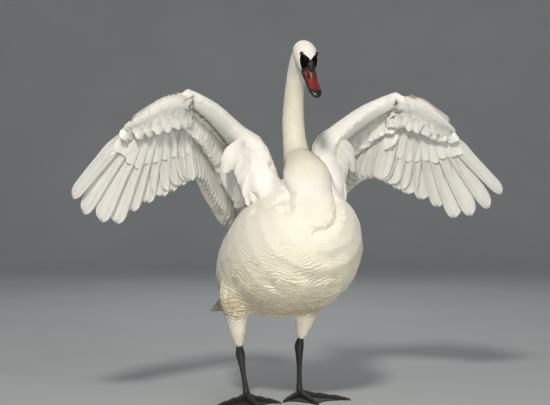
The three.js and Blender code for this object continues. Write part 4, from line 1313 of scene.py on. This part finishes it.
def eye_material():
    s = Shader("eye_brown", Roughness=0.12, Coat_Weight=1.0, Coat_Roughness=0.02)
    place = s.add("ShaderNodeTexCoord").outputs["Object"]
    moved = s.add("ShaderNodeVectorMath", {"operation": "SUBTRACT"}, _0=place, _1=tuple(EYES)).outputs[0]
    f, u = (s.dot(moved, tuple(axis)) for axis in (FORWARD, CROWN))
    off = s.math("SQRT", s.math("ADD", s.math("MULTIPLY", f, f), s.math("MULTIPLY", u, u)))
    iris = s.blend(s.noise(s.coords(), 900.0), (0.030, 0.012, 0.006), (0.085, 0.035, 0.015))
    color = s.blend(s.span(off, 0.0026, 0.0031), (0.002, 0.002, 0.002), iris)
    return s.use(Base_Color=s.blend(s.span(off, 0.0052, 0.0060), color, (0.008, 0.006, 0.005)))


def build_eyes():
    brown, lid = eye_material(), black_skin("lid_black", 900.0, 0.0002, 0.5, (0.003, 0.0027, 0.0027), (0.008, 0.007, 0.007))
    for name, side in SIDES.items():
        a, b = np.mgrid[0 : np.pi : 33j, 0 : 2 * np.pi : 65j]
        out = np.cos(a) * EYE_RADIUS * np.where(np.cos(a) > 0, 1 - 0.02 * np.sin(a) ** 2, 1)
        rings = on_head(side * (EYE_OUT + out), np.sin(a) * np.cos(b) * EYE_RADIUS, np.sin(a) * np.sin(b) * EYE_RADIUS)[:, :-1]
        points, quads, tris = closed(rings)
        flip = -1 if side > 0 else 1
        ball = make_piece(f"eyeball_{name}", points, quads[:, ::flip], brown, "eye", tris=tris[:, ::flip])
        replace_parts(ball, f"eye_{name}")
        # the rim of the lids: an almond ring lying on the ball
        t = np.linspace(0, 2 * np.pi, 49)[:-1]
        f, u = LID_LONG * np.cos(t), LID_TALL * np.sin(t) * (1 - 0.18 * np.cos(t) ** 2)
        near = np.sqrt(np.clip((EYE_RADIUS + 0.2) ** 2 - f**2 - u**2, 1, None))
        ring = np.stack([near, f, u], 1)
        outward = unit(ring * np.array([0.6, 1, 1]))
        inward = unit(np.cross(np.gradient(ring, axis=0), outward))
        c = np.linspace(0, 2 * np.pi, 13)[:-1]
        lids = ring[:, None] + LID_THICK * (outward[:, None] * (np.cos(c) * 1.5 + 0.9)[None, :, None] + inward[:, None] * np.sin(c)[None, :, None])
        points = on_head(side * (EYE_OUT + lids[..., 0]), lids[..., 1], lids[..., 2]).reshape(-1, 3)
        i, j = np.mgrid[0:48, 0:12]
        quads = np.stack([i * 12 + j, i * 12 + (j + 1) % 12, (i + 1) % 48 * 12 + (j + 1) % 12, (i + 1) % 48 * 12 + j], -1).reshape(-1, 4)
        make_piece(f"eyelids_{name}", points, quads[:, ::flip], lid, "black_skin")


# ---------------------------------------------------------------- legs and feet
LEGS = {
    "left": dict(side=1, knee=(82, 34, 306), ankle=(66, 72, 148), joint=(62, 60, 20), turn=0.0),
    "right": dict(side=-1, knee=(-150, 40, 306), ankle=(-112, 92, 130), joint=(-106, 54, 20), turn=math.radians(-8)),
}
TOES = {  # length, spread in degrees, radius
    "inner": (108, -43, 7.2), "middle": (152, -2, 8.0), "outer": (150, 43, 7.4), "hind": (26, 172, 5.0),
}
WEB = 3.0


def toe_way(leg, spread):
    a = leg["turn"] + leg["side"] * math.radians(spread)
    return np.array([math.sin(a), -math.cos(a), 0.0])


def build_leg(name, leg, scaly, horn):
    knee, ankle, joint = (np.array(leg[k], float) for k in ("knee", "ankle", "joint"))
    rows = [(*mix(knee, ankle, t), w, d, d) for t, w, d in ((0.70, 8, 9), (0.86, 9.5, 11), (1.0, 13.5, 15))]
    rows += [(*mix(ankle, joint, t), w, d, d) for t, w, d in ((0.2, 10.5, 12), (0.5, 7.2, 10), (0.8, 7.6, 10), (1.0, 10, 11))]
    shank = make_piece(f"shank_skin_{name}", *closed(limb_rings(rows, 90, 28))[:2], scaly, "leg_skin", tris=closed(limb_rings(rows, 90, 28))[2])
    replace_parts(shank, f"shank_{name}")
    heel = np.array([joint[0], joint[1], 0.0])
    parts = []
    for toe, (length, spread, r) in TOES.items():
        way = toe_way(leg, spread)
        stations = [(0, 14, r + 2.5), (0.16, 11, r + 1.2), (0.36, 7.5, r), (0.45, 8.5, r + 1), (0.68, 6.2, r - 1), (0.76, 7, r - 0.4), (1, 4.6, r - 2.6)]
        line = [(*(heel + way * length * t)[:2], z, w, w, w) for t, z, w in stations]
        parts.append(closed(limb_rings(line, 44, 18, floor=0.0)))
        size = 4.4 * r / 8
        hook = [(1, 4.6, size), (8, 5.2, size * 0.86), (13, 3.8, size * 0.6), (17, 1.6, size * 0.25)]
        line = [(*(heel + way * (length + d))[:2], z, w, w * 0.9, w * 0.9) for d, z, w in hook]
        claw = make_piece(f"claw_horn_{name}_{toe}", *closed(limb_rings(line, 16, 14, floor=0.0))[:2], horn, "black_skin", tris=closed(limb_rings(line, 16, 14, floor=0.0))[2])
        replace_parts(claw, f"claw_{name}_{toe}")
    # the web: two thin sheets between the toes, hollow along their front edge
    for a, b in (("inner", "middle"), ("middle", "outer")):
        u, v = np.meshgrid(np.linspace(0.02, 1, 26), np.linspace(0, 1, 22), indexing="ij")
        la, lb = TOES[a][0] - 6, TOES[b][0] - 6
        edge = mix(la, lb, v) * (1 - 0.20 * np.sin(np.pi * v))
        angle = [math.atan2(toe_way(leg, TOES[t][1])[0], -toe_way(leg, TOES[t][1])[1]) for t in (a, b)]
        turn = mix(angle[0], angle[1], v)
        x, y = heel[0] + edge * u * np.sin(turn), heel[1] - edge * u * np.cos(turn)
        pleat = 0.35 * np.sin(v * np.pi * 9) * u * np.sin(np.pi * v)
        layers = [np.stack([x, y, np.zeros_like(x)], -1), np.stack([x, y, mix(7.0, WEB, np.clip(u * 1.6, 0, 1)) + pleat * 0.5 + 1.0 * (1 - np.sin(np.pi * v)) * u], -1)]
        n, rows_, cols = u.size, *u.shape
        faces = grid_faces(rows_, cols)
        rim = [(r * cols, (r + 1) * cols, (r + 1) * cols + n, r * cols + n) for r in range(rows_ - 1)]
        rim += [((r + 1) * cols + cols - 1, r * cols + cols - 1, r * cols + cols - 1 + n, (r + 1) * cols + cols - 1 + n) for r in range(rows_ - 1)]
        last = (rows_ - 1) * cols
        rim += [(last + c, last + c + 1, last + c + 1 + n, last + c + n) for c in range(cols - 1)]
        rim += [(c + 1, c, c + n, c + 1 + n) for c in range(cols - 1)]
        whole = np.concatenate([faces[:, ::-1], faces + n, np.array(rim)])
        points = spot(*np.concatenate([layer.reshape(-1, 3) for layer in layers]))
        parts.append((points, whole, np.empty((0, 3), int)))
    points, quads, tris = merged(parts)
    foot = make_piece(f"foot_skin_{name}", points, quads, scaly, "leg_skin", tris=tris)
    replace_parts(foot, f"foot_{name}")
    for piece in (shank, foot):
        work = bmesh.new()
        work.from_mesh(piece.data)
        bmesh.ops.recalc_face_normals(work, faces=work.faces)
        work.to_mesh(piece.data)
        work.free()


build_bill()
build_knob()
build_eyes()
SCALY = black_skin("leg_scales", 260.0, 0.0007, 0.5)
CLAW = black_skin("claw_horn", 1200.0, 0.0001, 0.35, dust=(0.03, 0.027, 0.024))
for name, leg in LEGS.items():
    build_leg(name, leg, SCALY, CLAW)
